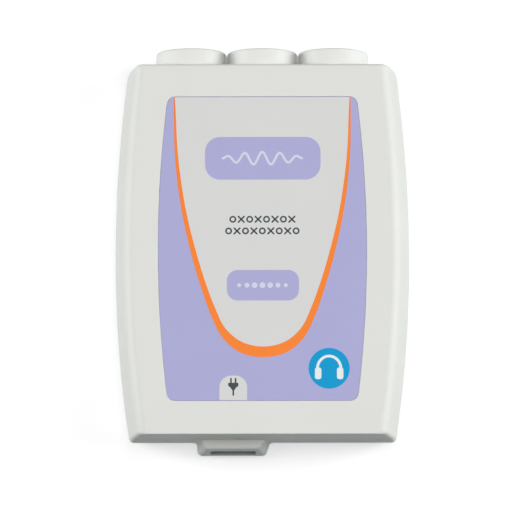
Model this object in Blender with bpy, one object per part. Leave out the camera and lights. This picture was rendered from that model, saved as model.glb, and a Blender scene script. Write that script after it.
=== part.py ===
"""Automatic audiometer box: two moulded shells, a jack panel, a face label and the board inside.

Run it with blender --background --python part.py, or from Blender's text editor.
Metres, +Z up out of the label, +Y towards the jacks, origin on the table under the middle.
"""
import math

import bmesh
import bpy
from mathutils import Matrix

# Clearances and overruns
CLEARANCE = 0.0003
OVERRUN = 0.002
SEAM_GAP = 0.0003

# Case outline: bowed sides, level ends
CASE_LENGTH = 0.1399
CASE_WIDTH = 0.1111
SIDE_BULGE = 0.0052
SEAM_SET_IN = 0.0009
SEAM_BULGE = 0.0052
SHOULDER_SET_IN = 0.003
SHOULDER_BULGE = 0.0052
FACE_SET_IN = 0.0071
FACE_BULGE = 0.0052
BASE_SET_IN = 0.0024
BASE_END_SET_IN = 0.0012
JACK_END_CORNER = 0.003
USB_END_CORNER = 0.0014
JACK_END_FILLET = 0.0013
SEAM_CHAMFER = 0.0003

# Case section
FOOT_DROP = 0.0012
FLOOR_WALL = 0.0022
TOP_WALL = 0.0022
SIDE_WALL = 0.0024
BELLY_HEIGHT = 0.0058
SHOULDER_HEIGHT = 0.0055
INNER_CORNER = 0.0008
INNER_SHOULDER_LOSS = 0.0004

# Lip where the two shells meet
TONGUE_DEPTH = 0.0015
TONGUE_SET_IN = 0.0014
TONGUE_WIDTH = 0.0008
TONGUE_ROOT = 0.001

# Jack panel and its collars
COLLAR_DIAMETER = 0.025
COLLAR_WALL = 0.0029
COLLAR_LENGTH = 0.008
COLLAR_FILLET = 0.0015
COLLAR_GAP = 0.0007
PANEL_THICKNESS = 0.0026
PANEL_RECESS = 0.0017
PANEL_MARGIN = 0.0022
PANEL_TONGUE = 0.0024
POST_WIDTH = 0.00555
POST_DEPTH = 0.007

# Jacks for 6.35 mm plugs
JACK_BORE_DIAMETER = 0.0066
BUSHING_DIAMETER = 0.0094
BUSHING_LENGTH = 0.0152
BUSHING_STICK_OUT = 0.0064
BUSHING_CHAMFER = 0.0004
JACK_BODY_LENGTH = 0.0246
JACK_BODY_WIDTH = 0.0152
JACK_BODY_TOP = 0.0075
JACK_BODY_CHAMFER = 0.0008
JACK_REAR_WALL = 0.002
WASHER_DIAMETER = 0.015
WASHER_THICKNESS = 0.0008
NUT_ACROSS_FLATS = 0.0127
NUT_THICKNESS = 0.0026
NUT_SIDES = 6

# Leaf contacts in the jacks
LEAF_THICKNESS = 0.0004
LEAF_WIDTH = 0.0032
LEAF_SLOT_MARGIN = 0.0005
LEAF_ROOT_LENGTH = 0.0022
LEAF_ROOT_RISE = 0.0049
LEAF_LENGTH = 0.0148
LEAF_DIMPLE_WIDTH = 0.005
LEAF_DIMPLE_RISE = 0.0025
LEAF_SLOPE_END_RISE = 0.0037
LEAF_TIP_RISE = 0.0039
LEAF_TIP_LENGTH = 0.0022
REST_OVERLAP = 0.0016
REST_WIDTH = 0.0028

# Label in its recess
LABEL_END_MARGIN = 0.0125
LABEL_SIDE_MARGIN = 0.00905
LABEL_BULGE = 0.0032
LABEL_CORNER = 0.0032
LABEL_THICKNESS = 0.0004
LABEL_RECESS_DEPTH = 0.0008

# Main board
BOARD_THICKNESS = 0.0016
BOARD_STANDOFF = 0.00145
BOARD_MARGIN = 0.0011
BOARD_FRONT_GAP = 0.0009
BOARD_REAR_GAP = 0.0013
BOARD_CORNER = 0.0015
BOARD_SCREW_RADIUS = 0.00115
BOARD_SCREW_HEAD_RADIUS = 0.0023
BOARD_SCREW_HEAD_HEIGHT = 0.0014
BOARD_SCREW_IN = 0.0022
BOARD_POST_RADIUS = 0.003
BOARD_SCREW_SIDE_MARGIN = 0.004
BOARD_SCREW_REAR_MARGIN = 0.0065
BOARD_SCREW_JACK_MARGIN = 0.0075

# Case screws and the pillars that carry them
CASE_SCREW_RADIUS = 0.0014
CASE_SCREW_HEAD_RADIUS = 0.0027
CASE_SCREW_HEAD_HEIGHT = 0.0017
CASE_SCREW_SINK = 0.0017
CASE_SCREW_GRIP = 0.0075
PILLAR_RADIUS = 0.0044
BOSS_RADIUS = 0.0036
BOSS_HOLE_TAIL = 0.001
PILLAR_SIDE_MARGIN = 0.00835
PILLAR_END_MARGIN = 0.0127
WEB_THICKNESS = 0.0012
WEB_DROP = 0.0028

# Feet
FOOT_DIAMETER = 0.0094
FOOT_POCKET_DEPTH = 0.0008
FOOT_CHAMFER = 0.0005
FOOT_SIDE_MARGIN = 0.01035
FOOT_END_MARGIN = 0.02395

# Ribs
FLOOR_RIB_HEIGHT = 0.0007
FLOOR_RIB_WIDTH = 0.0012
FACE_RIB_HEIGHT = 0.0016
FACE_RIB_WIDTH = 0.0012
FACE_RIB_SPACING = 0.022
FLOOR_RIB_SPACING = 0.022

# USB hood and socket
USB_OFFSET = -0.0108
USB_WIDTH = 0.0077
USB_HEIGHT = 0.0039
USB_LENGTH = 0.0092
USB_SHELL_WALL = 0.0003
USB_SHELL_STEP = 0.0012
USB_TONGUE_WIDTH = 0.0048
USB_TONGUE_THICKNESS = 0.0008
USB_INSERT_LENGTH = 0.0026
USB_TONGUE_RECESS = 0.0009
SLOT_WIDTH = 0.0168
SLOT_HEIGHT = 0.0064
SLOT_CORNER = 0.0008
SLOT_WALL_DEPTH = 0.0011
HOOD_BOTTOM_WALL = 0.0012
HOOD_TOP_WALL = 0.0024
HOOD_SIDE_WALL = 0.0052
HOOD_REACH = 0.0056
HOOD_TOP_SET_BACK = 0.0021
HOOD_SIDE_LEAN = 0.0024
HOOD_FRONT_LEAN = 0.0007
HOOD_CORNER = 0.0011
HOOD_EDGE = 0.0009
NOTCH_OFFSET = -0.0086
NOTCH_WIDTH = 0.0028
NOTCH_HEIGHT = 0.0028
NOTCH_DEPTH = 0.0012

# Electronics: size, and place as shares of the board's half width and of its free length behind the jacks
LEAD_THICKNESS = 0.0002
LEAD_REACH = 0.0009
PROCESSOR_SHARES = (0.3, 0.507)
PROCESSOR_SIZE = (0.014, 0.014, 0.0014)
PROCESSOR_PITCH = 0.0018
CODEC_SHARES = (-0.384, 0.807)
CODEC_SIZE = (0.0102, 0.0053, 0.0018)
CODEC_PITCH = 0.0012
AMPLIFIER_SHARES = (0.384, 0.817)
AMPLIFIER_SIZE = (0.0098, 0.0039, 0.0016)
AMPLIFIER_PITCH = 0.00127
ISOLATOR_SHARES = (-0.3, 0.348)
ISOLATOR_SIZE = (0.0103, 0.0075, 0.0023)
ISOLATOR_PITCH = 0.00127
MEMORY_SHARES = (0.74, 0.47)
MEMORY_SIZE = (0.0049, 0.0039, 0.0016)
MEMORY_PITCH = 0.00127
CONVERTER_SHARES = (-0.66, 0.573)
CONVERTER_SIZE = (0.0125, 0.0195, 0.0102)
CONVERTER_CORNER = 0.0009
CRYSTAL_SHARES = (0.3, 0.348)
CRYSTAL_SIZE = (0.0114, 0.0047, 0.0035)
CRYSTAL_FLANGE = 0.0004
CRYSTAL_OVAL_SHARE = 0.48
CAPACITOR_SHARES = (0.0, 0.9245)
CAPACITOR_SPACING = 0.0134
CAPACITOR_RADIUS = 0.00315
CAPACITOR_HEIGHT = 0.0077
CAPACITOR_GROOVE = 0.0003

# How finely the shapes are drawn
SIDE_STEPS = 10
CORNER_STEPS = 3
SHOULDER_STEPS = 6
TUCK_STEPS = 3
ROUND_STEPS = 20
PILLAR_STEPS = 16
COLLAR_STEPS = 32
SMALL_STEPS = 12
NUT_SIDE_STEPS = 4
CORNER_PASSES = 8
SMOOTH_ANGLE = math.radians(38)

# Places that follow from the sizes above
HALF_LENGTH = CASE_LENGTH / 2
HALF_WIDTH = CASE_WIDTH / 2
BASE_Z = FOOT_DROP
FLOOR_Z = BASE_Z + FLOOR_WALL
JACK_Z = FLOOR_Z + COLLAR_GAP + COLLAR_DIAMETER / 2
CEILING_Z = JACK_Z + COLLAR_DIAMETER / 2 + COLLAR_GAP
FACE_Z = CEILING_Z + TOP_WALL
SEAM_Z = JACK_Z
SHOULDER_Z = FACE_Z - SHOULDER_HEIGHT
BELLY_Z = BASE_Z + BELLY_HEIGHT
RECESS_Z = FACE_Z - LABEL_RECESS_DEPTH
UPPER_EDGE_Z = SEAM_Z + SEAM_GAP / 2
LOWER_EDGE_Z = SEAM_Z - SEAM_GAP / 2

# Half width at the middle and how much narrower the ends are
BELLY = (HALF_WIDTH, SIDE_BULGE)
BASE = (HALF_WIDTH - BASE_SET_IN, SIDE_BULGE)
SEAM = (HALF_WIDTH - SEAM_SET_IN, SEAM_BULGE)
SHOULDER = (HALF_WIDTH - SHOULDER_SET_IN, SHOULDER_BULGE)
FACE = (HALF_WIDTH - FACE_SET_IN, FACE_BULGE)

PANEL_FRONT_Y = HALF_LENGTH - PANEL_RECESS
PANEL_REAR_Y = PANEL_FRONT_Y - PANEL_THICKNESS
POST_REAR_Y = HALF_LENGTH - POST_DEPTH
COLLAR_END_Y = PANEL_FRONT_Y + COLLAR_LENGTH
WINDOW_HALF = HALF_WIDTH - SEAM_SET_IN - SEAM_BULGE - SIDE_WALL - POST_WIDTH
JACK_PITCH = WINDOW_HALF - PANEL_MARGIN - COLLAR_DIAMETER / 2

BOARD_BOTTOM_Z = FLOOR_Z + BOARD_STANDOFF
BOARD_TOP_Z = BOARD_BOTTOM_Z + BOARD_THICKNESS
BOARD_FRONT_Y = PANEL_REAR_Y - BOARD_FRONT_GAP
BOARD_REAR_Y = -HALF_LENGTH + SIDE_WALL + BOARD_REAR_GAP
PILLAR_X = HALF_WIDTH - SIDE_BULGE - PILLAR_SIDE_MARGIN
PILLAR_Y = HALF_LENGTH - PILLAR_END_MARGIN
BOARD_HALF_WIDTH = PILLAR_X - PILLAR_RADIUS - BOARD_MARGIN
FOOT_X = HALF_WIDTH - SIDE_BULGE - FOOT_SIDE_MARGIN
FOOT_Y = HALF_LENGTH - FOOT_END_MARGIN

JACK_FRONT_Y = PANEL_REAR_Y - CLEARANCE
JACK_REAR_Y = JACK_FRONT_Y - JACK_BODY_LENGTH
BUSHING_END_Y = PANEL_FRONT_Y + BUSHING_STICK_OUT
BUSHING_REAR_Y = BUSHING_END_Y - BUSHING_LENGTH
BOARD_SCREW_X = BOARD_HALF_WIDTH - BOARD_SCREW_SIDE_MARGIN
BOARD_SCREW_FRONT_Y = JACK_REAR_Y - BOARD_SCREW_JACK_MARGIN
BOARD_SCREW_REAR_Y = BOARD_REAR_Y + BOARD_SCREW_REAR_MARGIN

USB_Z = BOARD_TOP_Z + CLEARANCE + USB_HEIGHT / 2
USB_FRONT_Y = -HALF_LENGTH + SLOT_WALL_DEPTH
USB_REAR_Y = USB_FRONT_Y + USB_LENGTH
SLOT_LOW_Z = USB_Z - SLOT_HEIGHT / 2
SLOT_HIGH_Z = USB_Z + SLOT_HEIGHT / 2
HOOD_LOW_Z = SLOT_LOW_Z - HOOD_BOTTOM_WALL
HOOD_HIGH_Z = SLOT_HIGH_Z + HOOD_TOP_WALL

JACKS = (("left_ear", -JACK_PITCH), ("right_ear", 0.0), ("response", JACK_PITCH))


def make_material(name, colour, roughness, metallic=0.0):
    """Principled material of one plain colour."""
    material = bpy.data.materials.get(name) or bpy.data.materials.new(name)
    material.use_nodes = True
    shader = material.node_tree.nodes["Principled BSDF"]
    shader.inputs["Base Color"].default_value = (*colour, 1.0)
    shader.inputs["Roughness"].default_value = roughness
    shader.inputs["Metallic"].default_value = metallic
    material.diffuse_color = (*colour, 1.0)
    return material


def new_object(name, points, faces):
    """Object from points and faces, with its faces turned outwards."""
    mesh = bpy.data.meshes.new(name)
    mesh.from_pydata(points, [], faces)
    work = bmesh.new()
    work.from_mesh(mesh)
    bmesh.ops.recalc_face_normals(work, faces=work.faces)
    work.to_mesh(mesh)
    work.free()
    thing = bpy.data.objects.new(name, mesh)
    bpy.context.collection.objects.link(thing)
    return thing


def finish(thing, material):
    """Give a finished piece its material and smooth its round faces."""
    thing.data.materials.clear()
    thing.data.materials.append(material)
    thing.data.shade_smooth()
    thing.data.set_sharp_from_angle(angle=SMOOTH_ANGLE)
    return thing


def combine(body, tool, operation):
    """Apply one exact Boolean and remove the tool."""
    change = body.modifiers.new(operation.lower(), "BOOLEAN")
    change.operation = operation
    change.solver = "EXACT"
    change.object = tool
    graph = bpy.context.evaluated_depsgraph_get()
    result = bpy.data.meshes.new_from_object(body.evaluated_get(graph))
    body.modifiers.clear()
    old = body.data
    body.data = result
    bpy.data.meshes.remove(old)
    spent = tool.data
    bpy.data.objects.remove(tool)
    bpy.data.meshes.remove(spent)


def cut(body, *tools):
    for tool in tools:
        combine(body, tool, "DIFFERENCE")


def fuse(body, *tools):
    for tool in tools:
        combine(body, tool, "UNION")


def loft(name, rings):
    """Closed body through rings of equally many points, capped at both ends."""
    count = len(rings[0])
    points = [point for ring in rings for point in ring]
    faces = [tuple(range(count)), tuple(range(len(points) - count, len(points)))]
    for level in range(len(rings) - 1):
        for step in range(count):
            here = level * count + step
            beside = level * count + (step + 1) % count
            faces.append((here, beside, beside + count, here + count))
    return new_object(name, points, faces)


def band(name, outer, inner, low, high):
    """Closed band between two outlines of equally many points, from low to high."""
    count = len(outer)
    loops = ((outer, low), (outer, high), (inner, high), (inner, low))
    points = [(x, y, z) for loop, z in loops for x, y in loop]
    faces = []
    for level in range(len(loops)):
        above = (level + 1) % len(loops)
        for step in range(count):
            beside = (step + 1) % count
            faces.append((level * count + step, level * count + beside,
                          above * count + beside, above * count + step))
    return new_object(name, points, faces)


def prism(name, outline, low, high):
    """Outline in X and Y, from low to high."""
    return loft(name, [[(x, y, z) for x, y in outline] for z in (low, high)])


def box(name, x_ends, y_ends, z_ends):
    (left, right), (rear, front) = x_ends, y_ends
    return prism(name, [(left, rear), (right, rear), (right, front), (left, front)], *z_ends)


def circle(radius, steps):
    turns = (2 * math.pi * step / steps for step in range(steps))
    return [(radius * math.cos(turn), radius * math.sin(turn)) for turn in turns]


def turned(name, profile, steps, centre, along="Z"):
    """Solid turned about an axis: profile is (radius, place on the axis), from end to end."""
    rings = [[(x, y, place) for x, y in circle(radius, steps)] for radius, place in profile]
    return stand(loft(name, rings), centre, along)


def turned_tube(name, profile, steps, centre, along="Z"):
    """Turned ring: the profile is closed and stays clear of the axis."""
    count = len(profile)
    points = []
    faces = []
    for step in range(steps):
        turn = 2 * math.pi * step / steps
        points += [(radius * math.cos(turn), radius * math.sin(turn), place) for radius, place in profile]
        onward = (step + 1) % steps
        for corner in range(count):
            beside = (corner + 1) % count
            faces.append((step * count + corner, step * count + beside,
                          onward * count + beside, onward * count + corner))
    return stand(new_object(name, points, faces), centre, along)


def stand(thing, centre, along):
    """Turn a piece made along Z so that it lies along +Y, and move it to its centre."""
    if along == "Y":
        thing.data.transform(Matrix.Rotation(-math.pi / 2, 4, "X"))
    thing.data.transform(Matrix.Translation(centre))
    return thing


def rounded(corners, radius, steps=CORNER_STEPS):
    """Convex outline with each of its corners rounded to the same radius."""
    outline = []
    count = len(corners)
    for index in range(count):
        x, y = corners[index]
        before = corners[index - 1]
        after = corners[(index + 1) % count]
        start = math.atan2(before[1] - y, before[0] - x)
        end = math.atan2(after[1] - y, after[0] - x)
        inside = (start - end) % (2 * math.pi)
        middle = end + inside / 2
        reach = radius / math.sin(inside / 2)
        hub_x = x + reach * math.cos(middle)
        hub_y = y + reach * math.sin(middle)
        swing = math.pi - inside
        for step in range(steps + 1):
            turn = middle + math.pi + swing * (step / steps - 1 / 2)
            outline.append((hub_x + radius * math.cos(turn), hub_y + radius * math.sin(turn)))
    return outline


def rectangle(centre_x, centre_y, width, depth):
    left, right = centre_x - width / 2, centre_x + width / 2
    rear, front = centre_y - depth / 2, centre_y + depth / 2
    return [(left, rear), (right, rear), (right, front), (left, front)]


def corner_arc(section, half_length, edge, radius):
    """Points round a right-hand corner, from the bowed side to the level end."""
    middle, bulge = section
    way = math.copysign(1, edge)
    start = edge - way * radius
    for _ in range(CORNER_PASSES):
        lean = math.atan(2 * bulge * start / half_length ** 2)
        start = edge - way * radius * (1 - math.sin(abs(lean)))
    hub_x = middle - bulge * (start / half_length) ** 2 - radius * math.cos(lean)
    hub_y = start - radius * math.sin(lean)
    sweep = way * math.pi / 2 - lean
    turns = [lean + sweep * step / CORNER_STEPS for step in range(CORNER_STEPS + 1)]
    return [(hub_x + radius * math.cos(turn), hub_y + radius * math.sin(turn)) for turn in turns]


def barrel(section, half_length, rear, front, rear_corner, front_corner):
    """Outline with two bowed sides and two level ends."""
    middle, bulge = section
    rear_arc = corner_arc(section, half_length, rear, rear_corner)
    front_arc = corner_arc(section, half_length, front, front_corner)
    low = rear_arc[0][1]
    high = front_arc[0][1]
    places = [low + (high - low) * step / SIDE_STEPS for step in range(1, SIDE_STEPS)]
    side = [(middle - bulge * (y / half_length) ** 2, y) for y in places]
    right = rear_arc[::-1] + side + front_arc
    return right + [(-x, y) for x, y in reversed(right)]


def case_ring(section, z, set_in=0.0, rear_in=0.0, front_in=0.0):
    """One level of the case outline, set in from the outer skin."""
    middle, bulge = section
    outline = barrel((middle - set_in, bulge), HALF_LENGTH, -HALF_LENGTH + rear_in, HALF_LENGTH - front_in,
                     USB_END_CORNER, JACK_END_CORNER)
    return [(x, y, z) for x, y in outline]


def inner_ring(section, z):
    """One level of the hollow inside the case."""
    middle, bulge = section
    outline = barrel((middle - SIDE_WALL, bulge), HALF_LENGTH, -HALF_LENGTH + SIDE_WALL, POST_REAR_Y,
                     INNER_CORNER, INNER_CORNER)
    return [(x, y, z) for x, y in outline]


def between(first, second, share):
    """Section part of the way from the first to the second."""
    return tuple(a + (b - a) * share for a, b in zip(first, second))


def jack_end_fillet(z):
    """How far the jack end is set in at a height, for the fillet under the face."""
    rise = z - (FACE_Z - JACK_END_FILLET)
    if rise <= 0:
        return 0.0
    return JACK_END_FILLET - math.sqrt(max(JACK_END_FILLET ** 2 - rise ** 2, 0))


def seam_ring(z, set_in):
    """Outline at the seam, set in evenly all round."""
    middle, bulge = SEAM
    corner = max(JACK_END_CORNER - set_in, INNER_CORNER)
    return barrel((middle - set_in, bulge), HALF_LENGTH, -HALF_LENGTH + set_in, HALF_LENGTH - set_in,
                  INNER_CORNER, corner)


def upper_skin():
    """Outer form of the upper shell, from the seam over the rounded shoulders to the face."""
    rings = [case_ring(SEAM, UPPER_EDGE_Z, SEAM_CHAMFER, SEAM_CHAMFER, SEAM_CHAMFER),
             case_ring(SEAM, UPPER_EDGE_Z + SEAM_CHAMFER)]
    for step in range(SHOULDER_STEPS + 1):
        turn = math.pi / 2 * step / SHOULDER_STEPS
        z = SHOULDER_Z + SHOULDER_HEIGHT * math.sin(turn)
        rings.append(case_ring(between(FACE, SHOULDER, math.cos(turn)), z, front_in=jack_end_fillet(z)))
    return loft("upper_case", rings)


def upper_hollow():
    rings = [inner_ring(SEAM, SEAM_Z - OVERRUN), inner_ring(SEAM, SEAM_Z + OVERRUN)]
    for step in range(SHOULDER_STEPS + 1):
        turn = math.pi / 2 * step / SHOULDER_STEPS
        z = SHOULDER_Z + (CEILING_Z - SHOULDER_Z) * math.sin(turn)
        section = between(FACE, SHOULDER, math.cos(turn))
        rings.append(inner_ring((section[0] - INNER_SHOULDER_LOSS, section[1]), z))
    return loft("hollow", rings)


def lower_skin():
    """Outer form of the lower shell, from the tucked base out to the belly and up to the seam."""
    rings = []
    for step in range(TUCK_STEPS + 1):
        turn = math.pi / 2 * step / TUCK_STEPS
        z = BASE_Z + BELLY_HEIGHT * (1 - math.cos(turn))
        end_in = BASE_END_SET_IN * (1 - math.sin(turn))
        rings.append(case_ring(between(BASE, BELLY, math.sin(turn)), z, 0.0, end_in, end_in))
    rings.append(case_ring(SEAM, LOWER_EDGE_Z - SEAM_CHAMFER))
    rings.append(case_ring(SEAM, LOWER_EDGE_Z, SEAM_CHAMFER, SEAM_CHAMFER, SEAM_CHAMFER))
    return loft("lower_case", rings)


def lower_hollow():
    rings = [inner_ring(BASE, FLOOR_Z), inner_ring(BELLY, BELLY_Z), inner_ring(SEAM, SEAM_Z - OVERRUN),
             inner_ring(SEAM, SEAM_Z + OVERRUN)]
    return loft("hollow", rings)


def panel_opening():
    """Tools that open the jack end: the window, and the grooves that hold the panel's edges."""
    window = box("window", (-WINDOW_HALF, WINDOW_HALF), (POST_REAR_Y - OVERRUN, HALF_LENGTH + OVERRUN),
                 (FLOOR_Z, CEILING_Z))
    reach = WINDOW_HALF + PANEL_TONGUE + CLEARANCE
    groove = box("groove", (-reach, reach), (PANEL_REAR_Y - CLEARANCE, PANEL_FRONT_Y + CLEARANCE),
                 (FLOOR_Z, CEILING_Z))
    return window, groove


def pillar_places():
    return [(side * PILLAR_X, end * PILLAR_Y) for side in (-1, 1) for end in (-1, 1)]


def foot_places():
    return [(side * FOOT_X, end * FOOT_Y) for side in (-1, 1) for end in (-1, 1)]


def board_screw_places():
    return [(side * BOARD_SCREW_X, y) for side in (-1, 1) for y in (BOARD_SCREW_REAR_Y, BOARD_SCREW_FRONT_Y)]


def web(section, side_x, y, low, high):
    """Thin web that ties a pillar to the bowed side wall."""
    middle, bulge = section
    wall = middle - bulge * (y / HALF_LENGTH) ** 2 - SIDE_WALL / 2
    ends = sorted((side_x, math.copysign(wall, side_x)))
    return box("web", ends, (y - WEB_THICKNESS / 2, y + WEB_THICKNESS / 2), (low, high))


def make_upper_case(plastic):
    case = upper_skin()
    cut(case, upper_hollow())
    outer = seam_ring(SEAM_Z, TONGUE_SET_IN)
    inner = seam_ring(SEAM_Z, TONGUE_SET_IN + TONGUE_WIDTH)
    fuse(case, band("tongue", outer, inner, SEAM_Z - TONGUE_DEPTH, SEAM_Z + TONGUE_ROOT))
    buried_z = FACE_Z - TOP_WALL / 2
    for x, y in pillar_places():
        fuse(case, web(SHOULDER, x, y, UPPER_EDGE_Z + WEB_DROP, SHOULDER_Z))
        fuse(case, turned("boss", [(BOSS_RADIUS, UPPER_EDGE_Z), (BOSS_RADIUS, buried_z)], PILLAR_STEPS,
                          (x, y, 0)))
    rib_end = PILLAR_Y - BOSS_RADIUS - OVERRUN
    for side in (-1, 0, 1):
        x = side * FACE_RIB_SPACING
        fuse(case, box("rib", (x - FACE_RIB_WIDTH / 2, x + FACE_RIB_WIDTH / 2), (-rib_end, JACK_REAR_Y),
                       (CEILING_Z - FACE_RIB_HEIGHT, CEILING_Z + TOP_WALL / 4)))
    cut(case, *panel_opening())
    cut(case, prism("recess", label_outline(0.0), RECESS_Z, FACE_Z + OVERRUN))
    hole = CASE_SCREW_RADIUS + CLEARANCE
    tip = screw_tip_z() + BOSS_HOLE_TAIL
    for x, y in pillar_places():
        cut(case, turned("hole", [(hole, UPPER_EDGE_Z - OVERRUN), (hole, tip)], SMALL_STEPS, (x, y, 0)))
    notch = box("notch", (NOTCH_OFFSET - NOTCH_WIDTH / 2, NOTCH_OFFSET + NOTCH_WIDTH / 2),
                (-HALF_LENGTH - OVERRUN, -HALF_LENGTH + NOTCH_DEPTH), (SEAM_Z, UPPER_EDGE_Z + NOTCH_HEIGHT))
    cut(case, notch)
    finish(case, plastic)


def make_lower_case(plastic):
    case = lower_skin()
    cut(case, lower_hollow())
    groove_out = TONGUE_SET_IN - CLEARANCE
    groove_in = max(TONGUE_SET_IN + TONGUE_WIDTH, SIDE_WALL) + CLEARANCE
    groove_low = SEAM_Z - TONGUE_DEPTH - CLEARANCE
    cut(case, band("rebate", seam_ring(SEAM_Z, groove_out), seam_ring(SEAM_Z, groove_in), groove_low,
                   SEAM_Z + OVERRUN))
    buried_z = BASE_Z + FLOOR_WALL / 2
    for x, y in pillar_places():
        fuse(case, web(BASE, x, y, buried_z, groove_low - WEB_DROP))
        fuse(case, turned("pillar", [(PILLAR_RADIUS, buried_z), (PILLAR_RADIUS, LOWER_EDGE_Z)], PILLAR_STEPS,
                          (x, y, 0)))
    profile = [(BOARD_POST_RADIUS, buried_z), (BOARD_POST_RADIUS, BOARD_BOTTOM_Z - CLEARANCE)]
    for x, y in board_screw_places():
        fuse(case, turned("post", profile, PILLAR_STEPS, (x, y, 0)))
    rib_end = PILLAR_X - PILLAR_RADIUS - OVERRUN
    for row in (-1, 0, 1):
        y = row * FLOOR_RIB_SPACING
        fuse(case, box("rib", (-rib_end, rib_end), (y - FLOOR_RIB_WIDTH / 2, y + FLOOR_RIB_WIDTH / 2),
                       (buried_z, FLOOR_Z + FLOOR_RIB_HEIGHT)))
    fuse(case, hood())
    cut(case, *panel_opening())
    cut(case, hood_slot(), usb_window())
    cut_screw_holes(case)
    radius = FOOT_DIAMETER / 2 + CLEARANCE
    profile = [(radius, BASE_Z - OVERRUN), (radius, BASE_Z + FOOT_POCKET_DEPTH)]
    for x, y in foot_places():
        cut(case, turned("pocket", profile, ROUND_STEPS, (x, y, 0)))
    finish(case, plastic)


def screw_seat_z():
    """Height of the ledge that a case screw's head pulls against."""
    return BASE_Z + CASE_SCREW_SINK + CASE_SCREW_HEAD_HEIGHT + CLEARANCE


def screw_tip_z():
    return SEAM_Z + CASE_SCREW_GRIP


def cut_screw_holes(case):
    """Stepped holes for the case screws from below, and pilot holes for the board screws."""
    head = CASE_SCREW_HEAD_RADIUS + CLEARANCE
    shank = CASE_SCREW_RADIUS + CLEARANCE
    for x, y in pillar_places():
        profile = [(head, BASE_Z - OVERRUN), (head, screw_seat_z()), (shank, screw_seat_z()),
                   (shank, LOWER_EDGE_Z + OVERRUN)]
        cut(case, turned("hole", profile, PILLAR_STEPS, (x, y, 0)))
    pilot = BOARD_SCREW_RADIUS + CLEARANCE
    tip = board_screw_tip_z() - CLEARANCE
    for x, y in board_screw_places():
        cut(case, turned("pilot", [(pilot, tip), (pilot, BOARD_BOTTOM_Z)], SMALL_STEPS, (x, y, 0)))


def hood_ring(y, set_in, lean_share):
    """One section of the hood: a trapezium, set in evenly, its top leaning back from its foot."""
    slope = HOOD_SIDE_LEAN
    half = SLOT_WIDTH / 2 + HOOD_SIDE_WALL - HOOD_FRONT_LEAN * lean_share
    low = HOOD_LOW_Z + set_in
    high = HOOD_HIGH_Z - set_in
    corners = [(USB_OFFSET - half + set_in, low), (USB_OFFSET + half - set_in, low),
               (USB_OFFSET + half - slope - set_in, high), (USB_OFFSET - half + slope + set_in, high)]
    height = HOOD_HIGH_Z - HOOD_LOW_Z
    ring = []
    for x, z in rounded(corners, HOOD_CORNER):
        back = HOOD_TOP_SET_BACK * lean_share * (z - HOOD_LOW_Z) / height
        ring.append((x, y + back, z))
    return ring


def hood():
    """Moulded hood round the USB socket, with a leaning front and softened edges."""
    front = -HALF_LENGTH - HOOD_REACH
    rings = [hood_ring(-HALF_LENGTH + SIDE_WALL / 2, 0.0, 0.0)]
    for step in range(CORNER_STEPS + 1):
        turn = math.pi / 2 * step / CORNER_STEPS
        set_in = HOOD_EDGE * (1 - math.cos(turn))
        rings.append(hood_ring(front + HOOD_EDGE * (1 - math.sin(turn)), set_in, 1.0))
    return loft("hood", rings)


def hood_slot():
    """Mouth of the hood, as deep as the socket's front."""
    corners = rectangle(USB_OFFSET, USB_Z, SLOT_WIDTH, SLOT_HEIGHT)
    ends = (-HALF_LENGTH - HOOD_REACH - OVERRUN, USB_FRONT_Y)
    return loft("slot", [[(x, y, z) for x, z in rounded(corners, SLOT_CORNER)] for y in ends])


def usb_window():
    """Close window in the end wall for the socket's shell."""
    ends = (USB_FRONT_Y - OVERRUN, -HALF_LENGTH + SIDE_WALL + OVERRUN)
    return loft("window", [[(x + USB_OFFSET, y, z) for x, z in usb_outline(-CLEARANCE)] for y in ends])


def label_outline(set_in):
    """Outline of the label recess, or of the label set in from it."""
    half_length = HALF_LENGTH - LABEL_END_MARGIN
    middle = FACE[0] - LABEL_SIDE_MARGIN
    return barrel((middle - set_in, LABEL_BULGE), half_length, -half_length + set_in, half_length - set_in,
                  LABEL_CORNER, LABEL_CORNER)


def make_label(film):
    low = RECESS_Z + CLEARANCE
    finish(prism("label_overlay", label_outline(CLEARANCE), low, low + LABEL_THICKNESS), film)


def make_jack_panel(plastic):
    """End panel with three round collars, held by its side edges in the shells."""
    reach = WINDOW_HALF + PANEL_TONGUE
    panel = box("jack_panel", (-reach, reach), (PANEL_REAR_Y, PANEL_FRONT_Y),
                (FLOOR_Z + CLEARANCE, CEILING_Z - CLEARANCE))
    radius = COLLAR_DIAMETER / 2
    for _, x in JACKS:
        profile = [(radius, PANEL_REAR_Y + PANEL_THICKNESS / 2), (radius, COLLAR_END_Y - COLLAR_FILLET)]
        for step in range(1, CORNER_STEPS + 1):
            turn = math.pi / 2 * step / CORNER_STEPS
            profile.append((radius - COLLAR_FILLET * (1 - math.cos(turn)),
                            COLLAR_END_Y - COLLAR_FILLET * (1 - math.sin(turn))))
        fuse(panel, turned("collar", profile, COLLAR_STEPS, (x, 0, JACK_Z), "Y"))
    bowl = radius - COLLAR_WALL
    hole = BUSHING_DIAMETER / 2 + CLEARANCE
    for _, x in JACKS:
        profile = [(hole, PANEL_REAR_Y - OVERRUN), (hole, PANEL_FRONT_Y), (bowl, PANEL_FRONT_Y),
                   (bowl, COLLAR_END_Y + OVERRUN)]
        cut(panel, turned("bowl", profile, COLLAR_STEPS, (x, 0, JACK_Z), "Y"))
    finish(panel, plastic)


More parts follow.
